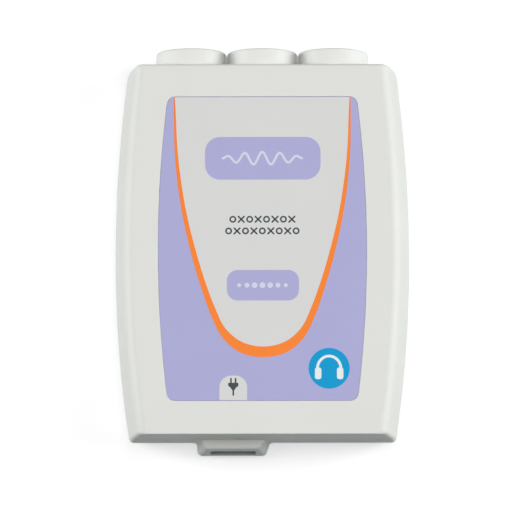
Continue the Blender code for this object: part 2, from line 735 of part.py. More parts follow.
def make_bushing(name, x, plated):
    outer = BUSHING_DIAMETER / 2
    inner = JACK_BORE_DIAMETER / 2
    chamfer = BUSHING_CHAMFER
    profile = [(inner, BUSHING_REAR_Y), (outer, BUSHING_REAR_Y), (outer, BUSHING_END_Y - chamfer),
               (outer - chamfer, BUSHING_END_Y), (inner + chamfer, BUSHING_END_Y),
               (inner, BUSHING_END_Y - chamfer)]
    finish(turned_tube(name + "_bushing", profile, ROUND_STEPS, (x, 0, JACK_Z), "Y"), plated)


def make_washer_and_nut(name, x, plated):
    """Flat washer and hexagon nut in the collar, which clamp the jack to the panel."""
    bore = BUSHING_DIAMETER / 2 + CLEARANCE
    low = PANEL_FRONT_Y + CLEARANCE
    high = low + WASHER_THICKNESS
    profile = [(bore, low), (WASHER_DIAMETER / 2, low), (WASHER_DIAMETER / 2, high), (bore, high)]
    finish(turned_tube(name + "_washer", profile, ROUND_STEPS, (x, 0, JACK_Z), "Y"), plated)
    rear = high + CLEARANCE
    nut = band(name + "_nut", hexagon(NUT_ACROSS_FLATS), circle(bore, NUT_SIDES * NUT_SIDE_STEPS), rear,
               rear + NUT_THICKNESS)
    stand(nut, (x, 0, JACK_Z), "Y")
    finish(nut, plated)


def hexagon(across_flats):
    """Hexagon with equal steps of angle, so that it can face a circle."""
    outline = []
    side_turn = 2 * math.pi / NUT_SIDES
    for step in range(NUT_SIDES * NUT_SIDE_STEPS):
        turn = side_turn * step / NUT_SIDE_STEPS
        off = turn % side_turn - side_turn / 2
        reach = across_flats / 2 / math.cos(off)
        outline.append((reach * math.cos(turn), reach * math.sin(turn)))
    return outline


def make_jack_body(name, x, black):
    """Moulded body: a bore for the plug, a seat for the bushing and an open slot for the leaf."""
    low, high = BOARD_TOP_Z + CLEARANCE, JACK_Z + JACK_BODY_TOP
    half = JACK_BODY_WIDTH / 2
    c = JACK_BODY_CHAMFER
    outline = [(x - half + c, low), (x + half - c, low), (x + half, low + c), (x + half, high - c),
               (x + half - c, high), (x - half + c, high), (x - half, high - c), (x - half, low + c)]
    rings = [[(px, y, pz) for px, pz in outline] for y in (JACK_REAR_Y, JACK_FRONT_Y)]
    body = loft(name + "_jack_body", rings)
    bore = JACK_BORE_DIAMETER / 2
    seat = BUSHING_DIAMETER / 2 + CLEARANCE
    profile = [(bore, JACK_REAR_Y + JACK_REAR_WALL), (bore, BUSHING_REAR_Y - CLEARANCE),
               (seat, BUSHING_REAR_Y - CLEARANCE), (seat, JACK_FRONT_Y + OVERRUN)]
    cut(body, turned("bore", profile, ROUND_STEPS, (x, 0, JACK_Z), "Y"))
    slot = LEAF_WIDTH / 2 + LEAF_SLOT_MARGIN
    sides = (x - slot, x + slot)
    ledge = leaf_root_y() - LEAF_ROOT_LENGTH
    top = high + OVERRUN
    cut(body, box("slot", sides, (JACK_REAR_Y + JACK_REAR_WALL, ledge), (JACK_Z, top)))
    cut(body, box("shelf", sides, (ledge - OVERRUN, leaf_root_y() + CLEARANCE),
                  (leaf_root_z() - CLEARANCE, top)))
    cut(body, box("notch", sides, (JACK_REAR_Y - OVERRUN, JACK_REAR_Y + JACK_REAR_WALL + CLEARANCE),
                  (rest_low_z() - CLEARANCE, top)))
    finish(body, black)


def leaf_root_y():
    """Front end of the leaf's root, behind the bushing's seat."""
    return BUSHING_REAR_Y - CLEARANCE - 2 * LEAF_SLOT_MARGIN


def leaf_root_z():
    """Underside of the leaf's root, where it hinges."""
    return JACK_Z + LEAF_ROOT_RISE


def rest_low_z():
    return JACK_Z + LEAF_TIP_RISE - CLEARANCE - LEAF_THICKNESS


def strip(name, path, thickness, width):
    """Bent strip: a path in Y and Z for its underside, thickened upwards and given its width in X."""
    upper = []
    for index, (y, z) in enumerate(path):
        y0, z0 = path[max(index - 1, 0)]
        y1, z1 = path[min(index + 1, len(path) - 1)]
        reach = math.hypot(y1 - y0, z1 - z0)
        upper.append((y + thickness * (z1 - z0) / reach, z - thickness * (y1 - y0) / reach))
    outline = list(path) + upper[::-1]
    rings = [[(side * width / 2, y, z) for y, z in outline] for side in (-1, 1)]
    return loft(name, rings)


def make_tip_spring(name, x, bronze):
    """Leaf contact: a root on its shelf, a dimple for the plug's tip and a free end on the rest contact.

    Its origin is on its hinge line, at the root. The path runs from the root towards the free end.
    """
    rise = LEAF_ROOT_RISE
    root = LEAF_ROOT_LENGTH
    free = LEAF_LENGTH - LEAF_TIP_LENGTH
    dimple = free - LEAF_DIMPLE_WIDTH / 2
    path = [(0.0, 0.0), (-root, 0.0), (LEAF_DIMPLE_WIDTH / 2 - dimple, LEAF_SLOPE_END_RISE - rise),
            (-dimple, LEAF_DIMPLE_RISE - rise), (-free, LEAF_TIP_RISE - rise),
            (-LEAF_LENGTH, LEAF_TIP_RISE - rise)]
    spring = strip(name + "_tip_spring", path, LEAF_THICKNESS, LEAF_WIDTH)
    spring.location = (x, leaf_root_y(), leaf_root_z())
    finish(spring, bronze)


def make_rest_contact(name, x, bronze):
    """Fixed contact under the leaf's free end, which runs out through the rear notch and down."""
    front = leaf_root_y() - LEAF_LENGTH + REST_OVERLAP
    rear = JACK_REAR_Y - CLEARANCE - LEAF_THICKNESS
    low = rest_low_z()
    path = [(front, low), (rear + LEAF_THICKNESS, low), (rear + LEAF_THICKNESS, BOARD_TOP_Z + CLEARANCE)]
    corner = (rear, low + LEAF_THICKNESS)
    outline = path + [(rear, BOARD_TOP_Z + CLEARANCE), corner, (front, low + LEAF_THICKNESS)]
    rings = [[(x + side * REST_WIDTH / 2, y, z) for y, z in outline] for side in (-1, 1)]
    finish(loft(name + "_rest_contact", rings), bronze)


def make_board(laminate):
    centre_y = (BOARD_FRONT_Y + BOARD_REAR_Y) / 2
    corners = rectangle(0.0, centre_y, 2 * BOARD_HALF_WIDTH, BOARD_FRONT_Y - BOARD_REAR_Y)
    board = prism("main_board", rounded(corners, BOARD_CORNER), BOARD_BOTTOM_Z, BOARD_TOP_Z)
    hole = BOARD_SCREW_RADIUS + CLEARANCE
    profile = [(hole, BOARD_BOTTOM_Z - OVERRUN), (hole, BOARD_TOP_Z + OVERRUN)]
    for x, y in board_screw_places():
        cut(board, turned("hole", profile, SMALL_STEPS, (x, y, 0)))
    finish(board, laminate)


def board_screw_tip_z():
    return BOARD_BOTTOM_Z - BOARD_SCREW_IN


def screw(name, place, tip, seat, shank, head, head_height, steel):
    """Pan-head screw from its tip to the underside of its head and over the dome."""
    way = math.copysign(1, seat - tip)
    crown = head_height / 2
    profile = [(shank / 2, tip), (shank, tip + way * shank / 2), (shank, seat), (head, seat),
               (head, seat + way * crown)]
    for step in range(1, CORNER_STEPS):
        turn = math.pi / 2 * step / CORNER_STEPS
        profile.append((head * math.cos(turn), seat + way * (crown + crown * math.sin(turn))))
    finish(turned(name, profile, SMALL_STEPS, (place[0], place[1], 0)), steel)


def make_screws(steel):
    for index, place in enumerate(pillar_places(), start=1):
        screw(f"case_screw_{index}", place, screw_tip_z(), screw_seat_z() - CLEARANCE, CASE_SCREW_RADIUS,
              CASE_SCREW_HEAD_RADIUS, CASE_SCREW_HEAD_HEIGHT, steel)
    for index, place in enumerate(board_screw_places(), start=1):
        screw(f"board_screw_{index}", place, board_screw_tip_z(), BOARD_TOP_Z + CLEARANCE, BOARD_SCREW_RADIUS,
              BOARD_SCREW_HEAD_RADIUS, BOARD_SCREW_HEAD_HEIGHT, steel)


def make_feet(rubber):
    radius = FOOT_DIAMETER / 2
    top = BASE_Z + FOOT_POCKET_DEPTH - CLEARANCE
    for index, (x, y) in enumerate(foot_places(), start=1):
        profile = [(radius - FOOT_CHAMFER, 0.0), (radius, FOOT_CHAMFER), (radius, top)]
        finish(turned(f"foot_{index}", profile, ROUND_STEPS, (x, y, 0)), rubber)


def usb_outline(set_in):
    """Mouth of the USB shell: square shoulders above, stepped in below."""
    half = USB_WIDTH / 2 - set_in
    top = USB_Z + USB_HEIGHT / 2 - set_in
    low = USB_Z - USB_HEIGHT / 2 + set_in
    step = USB_SHELL_STEP
    return [(-half, USB_Z), (-half + step, low), (half - step, low), (half, USB_Z), (half, top), (-half, top)]


def make_usb_socket(plated, black):
    """Folded metal shell, and the moulded insert whose tongue carries the contacts."""
    outer, inner = usb_outline(0.0), usb_outline(USB_SHELL_WALL)
    shell = band("usb_shell", outer, inner, USB_FRONT_Y, USB_REAR_Y)
    swap = Matrix(((1, 0, 0, USB_OFFSET), (0, 0, 1, 0), (0, 1, 0, 0), (0, 0, 0, 1)))
    shell.data.transform(swap)
    shell.data.flip_normals()
    finish(shell, plated)
    block_y = USB_REAR_Y - USB_INSERT_LENGTH
    block = usb_outline(USB_SHELL_WALL + CLEARANCE)
    rings = [[(x + USB_OFFSET, y, z) for x, z in block] for y in (block_y, USB_REAR_Y)]
    insert = loft("usb_insert", rings)
    half = USB_TONGUE_WIDTH / 2
    thick = USB_TONGUE_THICKNESS / 2
    ends = (USB_FRONT_Y + USB_TONGUE_RECESS, block_y + USB_INSERT_LENGTH / 2)
    tongue = box("tongue", (USB_OFFSET - half, USB_OFFSET + half), ends, (USB_Z - thick, USB_Z + thick))
    fuse(insert, tongue)
    finish(insert, black)


def comb(size, pitch, both_ways):
    """Outline of a chip's lead frame: teeth on two sides, or on all four."""
    width, depth, _ = size
    inset = LEAD_REACH / 4
    half_x, half_y = width / 2 - inset, depth / 2 - inset
    side = teeth(half_x, half_y, pitch)
    if not both_ways:
        return side + [(-x, -y) for x, y in side]
    across = teeth(half_y, half_x, pitch)
    left = [(-y, x) for x, y in across]
    return side + left + [(-x, -y) for x, y in side] + [(-x, -y) for x, y in left]


def teeth(half_run, half_depth, pitch):
    """One comb edge, run from +X to -X at the front of a chip."""
    count = int(2 * half_run / pitch)
    tooth = pitch / 4
    reach = half_depth + LEAD_REACH
    points = [(half_run, half_depth)]
    for index in range(count):
        x = (count - 1) * pitch / 2 - index * pitch
        points += [(x + tooth, half_depth), (x + tooth, reach), (x - tooth, reach), (x - tooth, half_depth)]
    return points


def board_place(shares):
    """Place from shares of the board's half width and of its free length behind the jacks."""
    return shares[0] * BOARD_HALF_WIDTH, BOARD_REAR_Y + shares[1] * (JACK_REAR_Y - BOARD_REAR_Y)


def make_chip(name, shares, size, pitch, both_ways, black):
    """Moulded chip on its lead frame, a hair above the board."""
    place = board_place(shares)
    low = BOARD_TOP_Z + CLEARANCE
    outline = [(x + place[0], y + place[1]) for x, y in comb(size, pitch, both_ways)]
    chip = prism(name, outline, low, low + LEAD_THICKNESS)
    corners = rectangle(place[0], place[1], size[0], size[1])
    edge = LEAD_REACH / 3
    top = rectangle(place[0], place[1], size[0] - edge, size[1] - edge)
    levels = ((corners, low + LEAD_THICKNESS / 2), (corners, low + size[2] / 2), (top, low + size[2]))
    fuse(chip, loft("moulding", [[(x, y, z) for x, y in ring] for ring, z in levels]))
    finish(chip, black)


def make_converter(black):
    """Potted converter that isolates the earphones from the computer's supply."""
    x, y = board_place(CONVERTER_SHARES)
    width, depth, height = CONVERTER_SIZE
    low = BOARD_TOP_Z + CLEARANCE
    edge = CONVERTER_CORNER
    whole = rounded(rectangle(x, y, width, depth), edge)
    top = rounded(rectangle(x, y, width - edge, depth - edge), edge / 2)
    levels = ((whole, low), (whole, low + height - edge / 2), (top, low + height))
    finish(loft("power_converter", [[(px, py, z) for px, py in ring] for ring, z in levels]), black)


def make_crystal(plated):
    """Welded oval can on its flange."""
    x, y = board_place(CRYSTAL_SHARES)
    width, depth, height = CRYSTAL_SIZE
    low = BOARD_TOP_Z + CLEARANCE
    flange = CRYSTAL_FLANGE
    ovals = []
    for trim in (0.0, 2 * flange, 4 * flange):
        corners = rectangle(x, y, width - trim, depth - trim)
        ovals.append(rounded(corners, (depth - trim) * CRYSTAL_OVAL_SHARE))
    wide, can, crown = ovals
    levels = ((wide, low), (wide, low + flange), (can, low + flange), (can, low + height - flange),
              (crown, low + height))
    finish(loft("crystal_can", [[(px, py, z) for px, py in ring] for ring, z in levels]), plated)


def make_capacitors(plated):
    """Two electrolytic cans with the crimp ring near the foot."""
    low = BOARD_TOP_Z + CLEARANCE
    radius, height, groove = CAPACITOR_RADIUS, CAPACITOR_HEIGHT, CAPACITOR_GROOVE
    x, y = board_place(CAPACITOR_SHARES)
    profile = [(radius, low), (radius, low + 3 * groove), (radius - groove, low + 4 * groove),
               (radius, low + 5 * groove), (radius, low + height - groove),
               (radius - groove, low + height)]
    for index, side in enumerate((-1, 1), start=1):
        place = (x + side * CAPACITOR_SPACING / 2, y, 0)
        finish(turned(f"capacitor_{index}", profile, ROUND_STEPS, place), plated)


def main():
    for thing in list(bpy.data.objects):
        bpy.data.objects.remove(thing)
    plastic = make_material("case_plastic", (0.72, 0.73, 0.69), 0.5)
    film = make_material("label_film", (0.45, 0.43, 0.68), 0.4)
    black = make_material("black_moulding", (0.03, 0.03, 0.032), 0.45)
    plated = make_material("plated_metal", (0.75, 0.75, 0.74), 0.25, 1.0)
    bronze = make_material("spring_bronze", (0.72, 0.5, 0.28), 0.3, 1.0)
    steel = make_material("screw_steel", (0.6, 0.61, 0.62), 0.3, 1.0)
    rubber = make_material("foot_rubber", (0.04, 0.04, 0.04), 0.8)
    laminate = make_material("board_laminate", (0.03, 0.18, 0.08), 0.4)

    make_upper_case(plastic)
    make_lower_case(plastic)
    make_jack_panel(plastic)
    make_label(film)
    for name, x in JACKS:
        make_bushing(name, x, plated)
        make_washer_and_nut(name, x, plated)
        make_jack_body(name, x, black)
        make_tip_spring(name, x, bronze)
        make_rest_contact(name, x, bronze)
    make_board(laminate)
    make_screws(steel)
    make_feet(rubber)
    make_usb_socket(plated, black)
    make_chip("processor_chip", PROCESSOR_SHARES, PROCESSOR_SIZE, PROCESSOR_PITCH, True, black)
    make_chip("codec_chip", CODEC_SHARES, CODEC_SIZE, CODEC_PITCH, False, black)
    make_chip("amplifier_chip", AMPLIFIER_SHARES, AMPLIFIER_SIZE, AMPLIFIER_PITCH, False, black)
    make_chip("isolator_chip", ISOLATOR_SHARES, ISOLATOR_SIZE, ISOLATOR_PITCH, False, black)
    make_chip("memory_chip", MEMORY_SHARES, MEMORY_SIZE, MEMORY_PITCH, False, black)
    make_converter(black)
    make_crystal(plated)
    make_capacitors(plated)


main()
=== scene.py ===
import math

import bmesh
import bpy
from mathutils import Matrix, Vector


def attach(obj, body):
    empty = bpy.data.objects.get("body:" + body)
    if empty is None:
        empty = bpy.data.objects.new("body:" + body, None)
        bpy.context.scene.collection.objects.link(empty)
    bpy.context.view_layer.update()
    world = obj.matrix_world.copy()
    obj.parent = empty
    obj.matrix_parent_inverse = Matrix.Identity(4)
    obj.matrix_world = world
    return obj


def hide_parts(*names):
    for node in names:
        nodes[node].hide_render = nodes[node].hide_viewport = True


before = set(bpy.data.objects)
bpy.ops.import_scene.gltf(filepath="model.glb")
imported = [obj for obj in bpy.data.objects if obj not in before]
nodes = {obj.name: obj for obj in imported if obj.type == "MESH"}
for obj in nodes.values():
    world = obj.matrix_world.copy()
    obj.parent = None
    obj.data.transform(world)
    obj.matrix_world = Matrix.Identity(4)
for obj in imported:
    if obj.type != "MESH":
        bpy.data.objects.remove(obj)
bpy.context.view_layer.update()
print("frame loaded:", len(nodes), "solids")

# How finely the shapes are drawn, and the play between parts; all lengths are in metres
fineness = {"side": 36, "corner": 7, "shoulder": 14, "tuck": 8, "large": 96, "round": 64, "small": 32,
            "rim": 6, "edge": 4, "curve": 12, "passes": 8}
play = 0.0003
overrun = 0.002
quarterTurn = math.pi / 2


# Meshes and Booleans
def addMesh(name, points, faces):
    mesh = bpy.data.meshes.new(name)
    mesh.from_pydata(points, [], faces)
    work = bmesh.new()
    work.from_mesh(mesh)
    bmesh.ops.recalc_face_normals(work, faces=work.faces)
    work.to_mesh(mesh)
    work.free()
    piece = bpy.data.objects.new(name, mesh)
    bpy.context.scene.collection.objects.link(piece)
    return piece


def applyTool(body, tool, operation):
    change = body.modifiers.new("tool", "BOOLEAN")
    change.operation = operation
    change.solver = "EXACT"
    change.object = tool
    graph = bpy.context.evaluated_depsgraph_get()
    result = bpy.data.meshes.new_from_object(body.evaluated_get(graph))
    body.modifiers.clear()
    old, body.data = body.data, result
    bpy.data.meshes.remove(old)
    spent = tool.data
    bpy.data.objects.remove(tool)
    bpy.data.meshes.remove(spent)


def cut(body, *tools):
    for tool in tools:
        applyTool(body, tool, "DIFFERENCE")


def fuse(body, *tools):
    for tool in tools:
        applyTool(body, tool, "UNION")


def loft(name, rings):
    count = len(rings[0])
    points = [point for ring in rings for point in ring]
    faces = [tuple(range(count)), tuple(range(len(points) - count, len(points)))]
    for level in range(len(rings) - 1):
        for step in range(count):
            here = level * count + step
            beside = level * count + (step + 1) % count
            faces.append((here, beside, beside + count, here + count))
    return addMesh(name, points, faces)


def band(name, outer, inner, low, high):
    count = len(outer)
    loops = ((outer, low), (outer, high), (inner, high), (inner, low))
    points = [(x, y, z) for loop, z in loops for x, y in loop]
    faces = []
    for level in range(len(loops)):
        here, above = level * count, (level + 1) % len(loops) * count
        for step in range(count):
            beside = (step + 1) % count
            faces.append((here + step, here + beside, above + beside, above + step))
    return addMesh(name, points, faces)


# An outline laid flat at a height, and one stood upright at a place on Y
def flatRing(outline, z):
    return [(x, y, z) for x, y in outline]


def uprightRing(outline, y):
    return [(x, y, z) for x, z in outline]


def prism(name, outline, low, high):
    return loft(name, [flatRing(outline, z) for z in (low, high)])


def block(name, xEnds, yEnds, zEnds):
    (left, right), (rear, front) = xEnds, yEnds
    return prism(name, [(left, rear), (right, rear), (right, front), (left, front)], *zEnds)


# Turned form: each station is (radius, place on the axis); a radius may be a function of the turn
def turnedForm(name, stations, steps, centre, along="Z", ring=False):
    count = len(stations)
    points, faces = [], []
    for step in range(steps):
        turn = 2 * math.pi * step / steps
        for radius, place in stations:
            reach = radius(turn) if callable(radius) else radius
            points.append((reach * math.cos(turn), reach * math.sin(turn), place))
        here, onward = step * count, (step + 1) % steps * count
        for level in range(count if ring else count - 1):
            above = (level + 1) % count
            faces.append((here + level, onward + level, onward + above, here + above))
    if not ring:
        for end in (0, count - 1):
            faces.append([step * count + end for step in range(steps)])
    piece = addMesh(name, points, faces)
    if along == "Y":
        piece.data.transform(Matrix.Rotation(-quarterTurn, 4, "X"))
    piece.data.transform(Matrix.Translation(centre))
    return piece


def cylinder(name, radius, low, high, x, y, steps=fineness["small"]):
    return turnedForm(name, [(radius, low), (radius, high)], steps, (x, y, 0))


# Upright round holes in a body, one at each place
def drill(body, places, radius, low, high, steps=fineness["small"]):
    for x, y in places:
        cut(body, cylinder("hole", radius, low, high, x, y, steps))


# Sine and cosine of equal steps through a quarter turn
def quarterSteps(steps):
    turns = [quarterTurn * step / steps for step in range(steps + 1)]
    return [(math.sin(turn), math.cos(turn)) for turn in turns]


# Quarter round for an edge, as pairs of set in and advance, from the end face to the side
def quarterRound(radius, steps=fineness["edge"]):
    return [(radius * (1 - sine), radius * (1 - cosine)) for sine, cosine in quarterSteps(steps)]


def circle(radius, steps, centre=(0.0, 0.0)):
    turns = [2 * math.pi * step / steps for step in range(steps)]
    return [(centre[0] + radius * math.cos(turn), centre[1] + radius * math.sin(turn)) for turn in turns]


def rectangle(x, y, width, depth):
    return [(x - width / 2, y - depth / 2), (x + width / 2, y - depth / 2),
            (x + width / 2, y + depth / 2), (x - width / 2, y + depth / 2)]


# Convex outline with its corners rounded
def rounded(corners, radius, steps=fineness["corner"]):
    outline = []
    count = len(corners)
    for index, (x, y) in enumerate(corners):
        before, after = corners[index - 1], corners[(index + 1) % count]
        start = math.atan2(before[1] - y, before[0] - x)
        end = math.atan2(after[1] - y, after[0] - x)
        inside = (start - end) % (2 * math.pi)
        middle = end + inside / 2
        reach = radius / math.sin(inside / 2)
        hub = (x + reach * math.cos(middle), y + reach * math.sin(middle))
        for step in range(steps + 1):
            turn = middle + math.pi + (math.pi - inside) * (step / steps - 0.5)
            outline.append((hub[0] + radius * math.cos(turn), hub[1] + radius * math.sin(turn)))
    return outline


# Radius of a screw thread at each turn, for one place on its axis
def thread(radius, depth, pitch):
    def at(place):
        def reach(turn):
            share = (place / pitch - turn / (2 * math.pi)) % 1
            return radius - depth * abs(2 * share - 1)
        return reach
    return at


print("mesh tools ready")


# Finishes
def linear(red, green, blue):
    shares = [value / 255 for value in (red, green, blue)]
    return [share / 12.92 if share <= 0.04045 else ((share + 0.055) / 1.055) ** 2.4 for share in shares]


class Graph:
    # adds shader nodes to the tree of a material or a world; an input is a value or another node's output
    def __init__(self, owner):
        owner.use_nodes = True
        self.owner = owner
        self.tree = owner.node_tree

    def feed(self, value, socket):
        if isinstance(value, bpy.types.NodeSocket):
            self.tree.links.new(value, socket)
        else:
            socket.default_value = value

    def add(self, kind, inputs=None, **settings):
        node = self.tree.nodes.new("ShaderNode" + kind)
        for key, value in settings.items():
            setattr(node, key, value)
        for key, value in (inputs or {}).items():
            self.feed(value, node.inputs[key])
        return node

    def objectPlace(self):
        return self.add("TexCoord").outputs["Object"]

    def figure(self, operation, first, second):
        return self.add("Math", {0: first, 1: second}, operation=operation).outputs[0]

    def noise(self, scale, detail=2.0, stretch=None):
        source = self.objectPlace()
        if stretch:
            source = self.add("Mapping", {"Vector": source, "Scale": stretch}).outputs["Vector"]
        return self.add("TexNoise", {"Vector": source, "Scale": scale, "Detail": detail}).outputs["Fac"]

    def spread(self, value, low, high, fromLow=0.3, fromHigh=0.7):
        ends = {"From Min": fromLow, "From Max": fromHigh, "To Min": low, "To Max": high}
        return self.add("MapRange", {"Value": value, **ends}).outputs["Result"]

    def mixed(self, factor, first, second):
        first, second = (colour if isinstance(colour, bpy.types.NodeSocket) else (*colour, 1.0)
                         for colour in (first, second))
        return self.add("Mix", {0: factor, 6: first, 7: second}, data_type="RGBA").outputs[2]

    def bump(self, height, depth):
        return self.add("Bump", {"Height": height, "Distance": depth}).outputs["Normal"]

    def paint(self, colour, roughness, relief, metallic=0.0, specular=0.5):
        shader = self.tree.nodes["Principled BSDF"]
        for key, value in (("Base Color", colour), ("Roughness", roughness), ("Normal", relief),
                           ("Metallic", metallic), ("Specular IOR Level", specular)):
            self.feed(value, shader.inputs[key])
        return self.owner

    # 1 for what the camera sees, also in metal or through glass
    def seenDirectly(self):
        path = self.add("LightPath")
        value = path.outputs["Is Camera Ray"]
        for other in ("Is Glossy Ray", "Is Transmission Ray"):
            value = self.figure("MAXIMUM", value, path.outputs[other])
        return value


# A finish from three noises: slow mottling of the colour, roughness patches, and grain in relief
def makeFinish(name, colour, drift, rough, grain, mottle=60.0, metallic=0.0, specular=0.5, stretch=None):
    graph = Graph(bpy.data.materials.new(name))
    paler = [min(share * (1 + drift), 1.0) for share in colour]
    darker = [share * (1 - drift) for share in colour]
    tone = graph.mixed(graph.spread(graph.noise(mottle, 3.0), 0.0, 1.0), darker, paler)
    patches = graph.spread(graph.noise(mottle * 12, 2.0, stretch), *rough)
    relief = graph.bump(graph.noise(grain[0], 3.0, stretch), grain[1])
    return graph.paint(tone, patches, relief, metallic, specular)


tones = {  # what the finishes look like, as sRGB 0 to 255
    "case": (222, 223, 218),
    # the panel tone is painted light: paler than the case plastic, so that the collars look more brightly lit
    "panel": (228, 229, 225),
    # the slot tone is painted shade, a darker grey for the shade inside the USB slot
    "slotShade": (160, 167, 166),
    "lilac": (173, 172, 214),
    "paleField": (216, 216, 215),
    "orange": (249, 134, 52),
    "blue": (0, 154, 208),
    "white": (232, 237, 240),
    "badgeMark": (212, 212, 232),
    "charcoal": (66, 76, 78),
}


def makePlastic(name, tone):
    return makeFinish(name, linear(*tones[tone]), 0.012, (0.5, 0.6), (2600, 0.000012), 40.0, specular=0.35)


def makeInk(name, tone, drift, rough=(0.38, 0.46), mottle=60.0):
    return makeFinish(name, linear(*tones[tone]), drift, rough, (5200, 0.000004), mottle, specular=0.12)


casePlastic = makePlastic("case plastic, fine spark texture", "case")
# Painted light: the jack panel uses the case plastic made paler, standing in for the extra light on its
# collars
panelPlasticPaintedPaler = makePlastic("jack panel plastic, fine spark texture", "panel")
lilacFilm = makeInk("lilac printed film", "lilac", 0.012, (0.36, 0.44), 50.0)
paleInk = makeInk("pale grey ink", "paleField", 0.008, mottle=50.0)
orangeInk = makeInk("orange ink", "orange", 0.02)
blueInk = makeInk("blue ink", "blue", 0.02)
whiteInk = makeInk("white ink", "white", 0.01)
badgeInk = makeInk("pale lilac ink", "badgeMark", 0.01)
charcoalInk = makeInk("charcoal ink", "charcoal", 0.04)
blackMoulding = makeFinish("black moulded nylon", (0.028, 0.028, 0.03), 0.15, (0.42, 0.6), (1800, 0.00002),
                           150.0)
nickelPlate = makeFinish("nickel plate", (0.74, 0.72, 0.68), 0.05, (0.16, 0.34), (900, 0.000006), 120.0, 1.0,
                         stretch=(1.0, 6.0, 1.0))
springBronze = makeFinish("rolled phosphor bronze", (0.72, 0.48, 0.26), 0.07, (0.22, 0.38), (700, 0.000005),
                          200.0, 1.0, stretch=(9.0, 1.0, 1.0))
zincPlate = makeFinish("zinc plate", (0.6, 0.62, 0.64), 0.06, (0.28, 0.46), (2400, 0.000008), 300.0, 1.0)
tinPlate = makeFinish("tin plate", (0.7, 0.7, 0.69), 0.05, (0.25, 0.4), (1500, 0.000008), 200.0, 1.0)
goldPlate = makeFinish("gold flash", (0.83, 0.6, 0.28), 0.04, (0.2, 0.32), (2400, 0.000004), 300.0, 1.0)
# Painted shade for the walls of the USB slot: a darker grey in place of the shade that falls there
slotPaintedShade = makeFinish("painted shade on the USB slot walls", linear(*tones["slotShade"]), 0.04, (0.6, 0.75), (2200, 0.00001),
                         120.0, specular=0.3)
footRubber = makeFinish("foot rubber", (0.036, 0.036, 0.037), 0.2, (0.7, 0.86), (1500, 0.00004), 160.0,
                        specular=0.3)
pottingResin = makeFinish("potting compound", (0.03, 0.045, 0.1), 0.12, (0.35, 0.5), (700, 0.00002), 90.0)


# Green solder mask over a woven laminate
def makeBoardFinish():
    graph = Graph(bpy.data.materials.new("green solder mask"))
    weave, cross = (graph.add("TexWave", {"Vector": graph.objectPlace(), "Scale": 420.0, "Distortion": 0.6},
                              wave_type="BANDS", bands_direction=way).outputs["Fac"] for way in ("X", "Y"))
    both = graph.figure("MULTIPLY", weave, cross)
    tone = graph.mixed(both, (0.018, 0.12, 0.05), (0.03, 0.17, 0.075))
    patches = graph.spread(graph.noise(300, 3.0), 0.25, 0.4)
    return graph.paint(tone, patches, graph.bump(both, 0.00001))


# Chip: black moulding on top, tinned leads in the thin layer next to the board
def makeChipFinish(leadTop):
    graph = Graph(bpy.data.materials.new("chip with tinned leads"))
    height = graph.add("SeparateXYZ", {0: graph.objectPlace()}).outputs["Z"]
    above = graph.figure("GREATER_THAN", height, leadTop)
    speck = graph.spread(graph.noise(5000, 3.0), 0.8, 1.2)
    dark = graph.add("VectorMath", {0: (0.03, 0.03, 0.032), "Scale": speck}, operation="SCALE").outputs[0]
    tone = graph.mixed(above, (0.68, 0.68, 0.67), dark)
    patches = graph.spread(graph.noise(4000, 3.0), 0.42, 0.6)
    relief = graph.bump(graph.noise(9000), 0.000008)
    return graph.paint(tone, patches, relief, graph.figure("SUBTRACT", 1.0, above))


chipLeadTop = 0.00696
boardFinish = makeBoardFinish()
chipFinish = makeChipFinish(chipLeadTop)
print("finishes ready")


# Material, smoothing, body, and the CAD nodes that the piece stands for
def dress(piece, material, body="case", stands=(), sharp=32, weighted=False):
    piece.data.materials.clear()
    piece.data.materials.append(material)
    piece.data.shade_smooth()
    piece.data.set_sharp_from_angle(angle=math.radians(sharp))
    if weighted:
        normals = piece.modifiers.new("weighted normals", "WEIGHTED_NORMAL")
        normals.keep_sharp = True
        normals.weight = 100
    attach(piece, body)
    if stands:
        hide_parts(*stands)
    return piece


# The two shells
caseBody = {  # the outline that both shells share
    "halfLength": 0.06995,
    "belly": 0.05535,  # half widths at the middle
    "base": 0.05295,
    "seam": 0.05445,
    "shoulder": 0.05235,
    "face": 0.04825,
    "bow": 0.00535,  # how much less they are at the ends
    "jackEndBow": 0.85,  # share of the bow on the jack side of the middle
    "baseZ": 0.0012,
    "floorZ": 0.0034,
    "bellyZ": 0.007,
    "seamZ": 0.0166,
    "shoulderZ": 0.0265,
    "ceilingZ": 0.0298,
    "faceZ": 0.032,
    "wall": 0.0024,
    "shoulderLoss": 0.0004,  # how much thicker the wall is inside the shoulder
    "baseEndSetIn": 0.0012,
    "jackEndCorner": 0.0014,
    "usbEndCorner": 0.0017,
    "jackEndFillet": 0.0013,
    "usbEndFillet": 0.0004,
    "seamGap": 0.0003,
    "seamRound": 0.00035,
    "innerCorner": 0.0008,
    "upperRings": (0.04, 0.5, 0.96),  # shares of the wall's height that carry a ring
    "lowerRings": (0.5, 0.97),
    "support": 0.0004,  # a last ring this far inside a flat end keeps its shading flat
}
tongue = {"depth": 0.0015, "setIn": 0.0014, "width": 0.0008, "root": 0.001}
panelSize = {"windowHalf": 0.0415, "rearY": 0.06565, "frontY": 0.06825, "postRearY": 0.06295,
             "tongue": 0.0024}
halfLength = caseBody["halfLength"]
seamZ, faceZ, baseZ = caseBody["seamZ"], caseBody["faceZ"], caseBody["baseZ"]
floorZ, ceilingZ = caseBody["floorZ"], caseBody["ceilingZ"]
bellyZ, shoulderZ = caseBody["bellyZ"], caseBody["shoulderZ"]
upperEdge = seamZ + caseBody["seamGap"] / 2
lowerEdge = seamZ - caseBody["seamGap"] / 2


